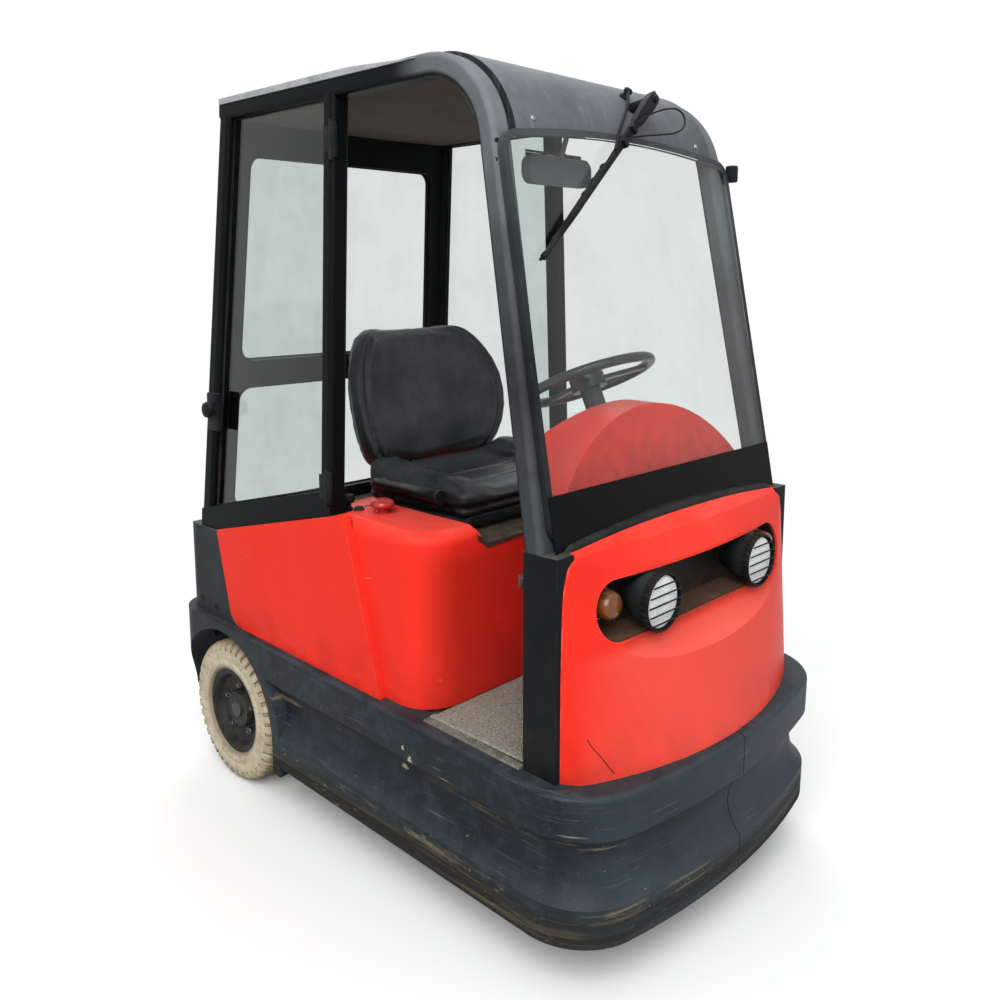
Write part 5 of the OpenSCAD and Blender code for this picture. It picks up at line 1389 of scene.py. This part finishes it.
bm = bmesh.new()
for side in (-1, 1):
    block(bm, (side * 0.459, 0.566, 1.092), (0.020, 0.056, 0.112), 0.009)
    lathe(bm, [(0, 0.0), (0.015, 0.0), (0.015, 0.008), (0.021, 0.010), (0.0235, 0.016), (0.021, 0.024),
               (0.012, 0.028), (0, 0.029)], pointing((side * 0.467, 0.560, 1.100), (side, 0, 0)), 32)
piece("rear_latch", bm, NYLON)

# The bare edge of the roof sheet lies on each rail
bm = bmesh.new()
for side in (-1, 1):
    rings = []
    for y in (0.535, 0.40, 0.15, -0.05, -0.20, -0.285):
        thick = 0.0146 * smoothstep(-0.30, -0.05, y) + 0.002
        rings.append([bm.verts.new((side * x, y, z)) for x,
                      z in ((0.4195, 1.9415), (0.4222, 1.9420), (0.4222, 1.9420 + thick - 0.003),
                            (0.4195, 1.9420 + thick), (0.385, 1.9420 + thick - 0.001), (0.385, 1.9415))])
    loft(bm, rings)
piece("roof_sheet_edges", bm, EDGE_METAL, sharp=30)

# Rivets of the visor, screws of the pillars, and a glass clip at the far corner
bm = bmesh.new()
RIVET_R = 0.0062
for x in (-0.3075, 0.3075):
    lathe(bm, [(0, -0.002), (RIVET_R, -0.002), (RIVET_R, 0.0008), (RIVET_R * 0.8, 0.0024),
               (RIVET_R * 0.3, 0.0032), (0, 0.0026)], pointing((x, -0.5274, 1.8036), (0, -0.95, 0.31)),
          24)
piece("visor_rivets", bm, STEEL)
bm = bmesh.new()
for mirrored in (-1, 1):
    for x, y, z, way in ((0.4199, -0.5326, 1.7475, (0.45, -0.87, 0.19)),
                         (0.4255, -0.534, 1.709, (1, 0, 0.02))):
        lathe(bm, [(0, -0.002), (0.0052, -0.002), (0.0052, 0.0006), (0.0030, 0.0014), (0.0026, 0.0004),
                   (0, 0.0004)], pointing((mirrored * x, y, z), (mirrored * way[0], way[1], way[2])), 20)
block(bm, (0.4330, -0.560, 1.742), (0.020, 0.030, 0.044), 0.006)
piece("pillar_screws", bm, NYLON)
print("headliner, hinges, catches, roof edges, rivets and screws on")

# %% [markdown]
# ## What stands on the hood
#
# Under the seat lies a rubber apron that was cut by hand and folded over the lip of the hood. It is
# draped on the solid itself: each point of a grid is dropped until it meets the moulding. Beside the
# seat stand the emergency stop, a black knob and the key switch, all turned parts; below the cushion
# sits the moulded pan that carries it.

# %% Apron, pan and controls
ABOVE_HOOD = 0.96
APRON_HALF, APRON_REAR, APRON_PITCH, APRON_THICK = 0.288, 0.10, 0.02, 0.002


def dropped(node, place, way=(0, 0, -1)):
    """Where a ray from `place` along `way` meets a solid, or None."""
    solid = NODES[node]
    back = solid.matrix_world.inverted()
    met, spot, _, _ = solid.ray_cast(back @ Vector(place), (back.to_3x3() @ Vector(way)).normalized())
    return solid.matrix_world @ spot if met else None


def rubber_apron():
    """A dusty brown-black sheet without gloss."""
    sheet = Finish("cut_rubber_sheet", "#3A342B", 0.7, IOR=1.5, Specular_IOR_Level=0.25)
    sheet.coat("#2C2721", 0.8, sheet.patches(50, 0.35, 0.7))
    sheet.coat("#665A4A", 0.9, sheet.facing_up(0.4, 0.95), sheet.patches(30, 0.4, 0.7), 0.5)
    return sheet.done()


bm = bmesh.new()
rows = []
for k in range(37):
    x = APRON_HALF * (k / 18 - 1)
    row = []
    for y in [APRON_REAR - APRON_PITCH * n for n in range(22)] + [-0.333]:
        spot = dropped("seat_hood", (x, y, ABOVE_HOOD))
        row.append(Vector((x, y, spot.z + 0.0025)))
    wave = 0.003 * math.sin(11 * x + 1.0) + 0.002 * math.sin(31 * x)
    front = row[-1].z
    for y, z in ((-0.3385, -0.003), (-0.3390, -0.007), (-0.3385, -0.011 + wave)):
        row.append(Vector((x, y, front + z)))
    rows.append([bm.verts.new(spot) for spot in row])
skin(bm, rows, closed=False)
bm.normal_update()
bmesh.ops.solidify(bm, geom=bm.faces[:], thickness=APRON_THICK)
piece("rubber_apron", bm, rubber_apron())

bm = bmesh.new()
block(bm, (0, -0.118, 0.868), (0.500, 0.270, 0.022), 0.008)
block(bm, (0, -0.245, 0.872), (0.480, 0.020, 0.026), 0.008)
piece("seat_pan", bm, NYLON)

STOP_LOW, STOP_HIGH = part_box("stop_button")
stop_axis = pointing(((STOP_LOW[0] + STOP_HIGH[0]) / 2, (STOP_LOW[1] + STOP_HIGH[1]) / 2, STOP_LOW[2]),
                     (0, 0, 1))
bm = bmesh.new()
lathe(bm, [(0, 0), (0.0165, 0), (0.0165, 0.004), (0.0130, 0.006), (0.0130, 0.014), (0.0250, 0.0155),
           (0.0300, 0.018), (0.0308, 0.0215), (0.0300, 0.0265), (0.0255, 0.0315), (0.0170, 0.0348),
           (0.0080, 0.0358), (0, 0.0360)], stop_axis, 48)
cap = piece("stop_mushroom", bm, NODES["stop_button"].data.materials[0], sharp=50)
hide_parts("stop_button")

bm = bmesh.new()
knob_foot = dropped("seat_hood", (-0.371, 0.059, ABOVE_HOOD))
lathe(bm, [(0, -0.002), (0.012, -0.002), (0.012, 0.010), (0.0075, 0.012), (0.0075, 0.022),
           (0.0150, 0.024), (0.0175, 0.030), (0.0175, 0.038), (0.0140, 0.044), (0, 0.046)],
      pointing(knob_foot, (0, 0, 1)), 32)
lathe(bm, [(0, 0.0), (0.0135, 0.0), (0.0135, 0.005), (0.0105, 0.008), (0.0105, 0.010), (0, 0.010)],
      pointing(dropped("seat_hood", (-0.385, -0.005, ABOVE_HOOD)), (0, 0, 1)), 28)
piece("hood_knob", bm, NYLON)
bm = bmesh.new()
block(bm, (-0.1354, -0.3385, 0.7201), (0.022, 0.009, 0.034), 0.002)
lathe(bm, [(0, 0), (0.004, 0), (0.004, 0.006), (0, 0.007)],
      pointing((-0.1354, -0.342, 0.727), (0, -1, 0)), 16)
piece("hood_striker", bm, STEEL)
print("apron, pan and controls stand on the hood")

# %% [markdown]
# ## Dash, pedals, mirror and rear lamps
#
# The driver faces a few plain things: a battery gauge, two rocker switches, ribbed rubber pads on the
# pedals and a silvered mirror. They sit on the solids where a ray from the seat meets them. At the rear
# the lamp lenses are moulded with level ribs that bend the light, so they are skinned from a waved
# profile instead of a flat box.

# %% Things the driver sees, and rear lenses
def silvered_glass():
    """A clean mirror with a few marks."""
    mirror = Finish("silvered_glass", "#DDE1E2", 0.03, Metallic=1.0)
    mirror.coat("#B8BBBB", 0.2, mirror.patches(25, 0.55, 0.7, 6), 0.5)
    return mirror.done()


bm = bmesh.new()
block(bm, (-0.120, -0.4195, 1.7255), (0.196, 0.0025, 0.066), 0.0010)
piece("mirror_glass", bm, silvered_glass())

gauge = dropped("dash_console", (0.0, -0.10, 1.085), (0, -1, 0))
bm = bmesh.new()
lathe(bm, [(0, -0.004), (0.036, -0.004), (0.036, 0.006), (0.033, 0.009), (0.030, 0.009), (0.029, 0.005),
           (0, 0.005)], pointing(gauge, (0, 1, 0)), 48)
for x in (-0.11, 0.11):
    seat = dropped("dash_console", (x, -0.10, 1.060), (0, -1, 0))
    block(bm, seat, (0.030, 0.012, 0.046), 0.003)
    block(bm, seat + Vector((0, 0.006, 0.008)), (0.022, 0.010, 0.020), 0.002,
          Matrix.Rotation(0.25, 3, "X"))
piece("dash_instruments", bm, NYLON)
bm = bmesh.new()
lathe(bm, [(0, 0.0052), (0.0288, 0.0052), (0.0288, 0.0060), (0, 0.0060)], pointing(gauge, (0, 1, 0)), 40)
piece("gauge_dial", bm, CLEAR_FOOT)

PEDAL_LOW, PEDAL_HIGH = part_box("pedals")
PEDAL_HALF, PEDAL_LEAN = 0.034, math.radians(-38)
bm = bmesh.new()
for x in (PEDAL_LOW[0] + PEDAL_HALF, PEDAL_HIGH[0] - PEDAL_HALF):
    for k in range(6):
        spot = dropped("pedals", (x, -0.30, 0.500 + 0.012 * k), (0, -1, 0))
        if spot is not None:
            block(bm, spot, (0.058, 0.006, 0.006), 0.0015, Matrix.Rotation(PEDAL_LEAN, 3, "X"))
piece("pedal_ribs", bm, RUBBER)

REAR_LOW, REAR_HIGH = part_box("rear_lamps")
LENS_H, LENS_HALF, LENS_CORNER, RIB_PITCH, LENS_STEPS = 0.110, 0.035, 0.014, 0.0085, 108
for side, x in (("right", REAR_LOW[0] + LENS_HALF), ("left", REAR_HIGH[0] - LENS_HALF)):
    bm = bmesh.new()
    rings = []
    for k in range(LENS_STEPS + 1):
        z = REAR_LOW[2] + LENS_H * k / LENS_STEPS
        edge = min(k, LENS_STEPS - k) / LENS_STEPS * LENS_H
        inside = max(0.0, LENS_CORNER - edge)
        half = LENS_HALF - LENS_CORNER + math.sqrt(max(0.0, LENS_CORNER ** 2 - inside ** 2))
        face = REAR_HIGH[1] - 0.0012 - 0.0010 * math.cos(math.tau * (z - REAR_LOW[2]) / RIB_PITCH)
        face -= 0.006 * smoothstep(0.010, 0.0, edge)
        rings.append([bm.verts.new((x + dx * half, y, z)) for dx,
                      y in ((-1, REAR_LOW[1]), (-1, face - 0.004), (-0.93, face), (0.93, face),
                            (1, face - 0.004), (1, REAR_LOW[1]))])
    loft(bm, rings)
    lens = piece("rear_lens_" + side, bm, RED_LENS, sharp=40)
    if side == "right":
        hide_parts("rear_lamps")

# Capped holes of the rear casting, and the old crack in the cowl
bm = bmesh.new()
for mirrored in (-1, 1):
    for y, z in ((0.654, 0.5216), (0.5725, 0.5108)):
        lathe(bm, [(0, -0.003), (0.0105, -0.003), (0.0105, 0.0012), (0.0085, 0.0020), (0.0070, 0.0004),
                   (0, 0.0004)], pointing((mirrored * 0.476, y, z), (mirrored, 0, 0)), 28)
piece("body_plugs", bm, RUBBER)
CRACK_R = 0.0009
CRACK = [(-0.4090, 0.553), (-0.4050, 0.543), (-0.3952, 0.5272), (-0.3870, 0.517), (-0.3772, 0.5016),
         (-0.3670, 0.486), (-0.3562, 0.470)]
crack = [dropped("front_cowl", (x, -1.10, z), (0, 1, 0)) for x, z in CRACK]
rod("cowl_crack", crack, CRACK_R, SEAM_BLACK)
print("dash, pedals, mirror, rear lenses and cowl crack done")

# %% [markdown]
# ## Floor mat and sill strips
#
# The mat is one cut sheet of flecked rubber. It lies on the floor plate, climbs onto the ledge of the
# bumper on both sides and ends there in a straight cut; a narrow strip of the same sheet is glued
# outside it as a tread edge.

# %% Mat and strips
MAT_REAR, MAT_THICK, ABOVE_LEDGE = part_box("floor_mat")[1][1], 0.003, 0.60
MAT_TOP = [(-0.4450, 0.4672), (-0.4435, 0.4690), (-0.4340, 0.4690), (-0.4240, 0.4654), (0.4240, 0.4654),
           (0.4340, 0.4690), (0.4435, 0.4690), (0.4450, 0.4672)]
bm = bmesh.new()
rings = []
for y in (MAT_REAR, MAT_REAR - 0.002, -0.49, -0.640, -0.642):
    upper = [bm.verts.new((x, y, z)) for x, z in MAT_TOP]
    lower = [bm.verts.new((x, y, z - MAT_THICK)) for x, z in reversed(MAT_TOP)]
    rings.append(upper + lower)
loft(bm, rings)
mat = piece("speckled_floor_mat", bm, MAT_RUBBER)
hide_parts("floor_mat")

bm = bmesh.new()
for side in (-1, 1):
    rings = []
    for y in (-0.340, -0.342, -0.49, -0.638, -0.640):
        top = dropped("bumper_right" if side < 0 else "bumper_left", (side * 0.458, y, ABOVE_LEDGE)).z
        rings.append([bm.verts.new((side * x, y, top + z)) for x,
                      z in ((0.4475, 0.0), (0.4475, 0.0022), (0.4485, 0.0032), (0.4665, 0.0032),
                            (0.4685, 0.0018), (0.4690, 0.0))])
    loft(bm, rings)
piece("sill_tread_strips", bm, MAT_RUBBER)
print("mat laid from sill to sill")

# %% [markdown]
# ## A last check
#
# Last comes one check: every node of the frame should wear a finish.

# %% Look for bare nodes
for obj in list(bpy.context.scene.objects):
    if obj.name in NODES and not obj.data.materials:
        print("bare node", obj.name)
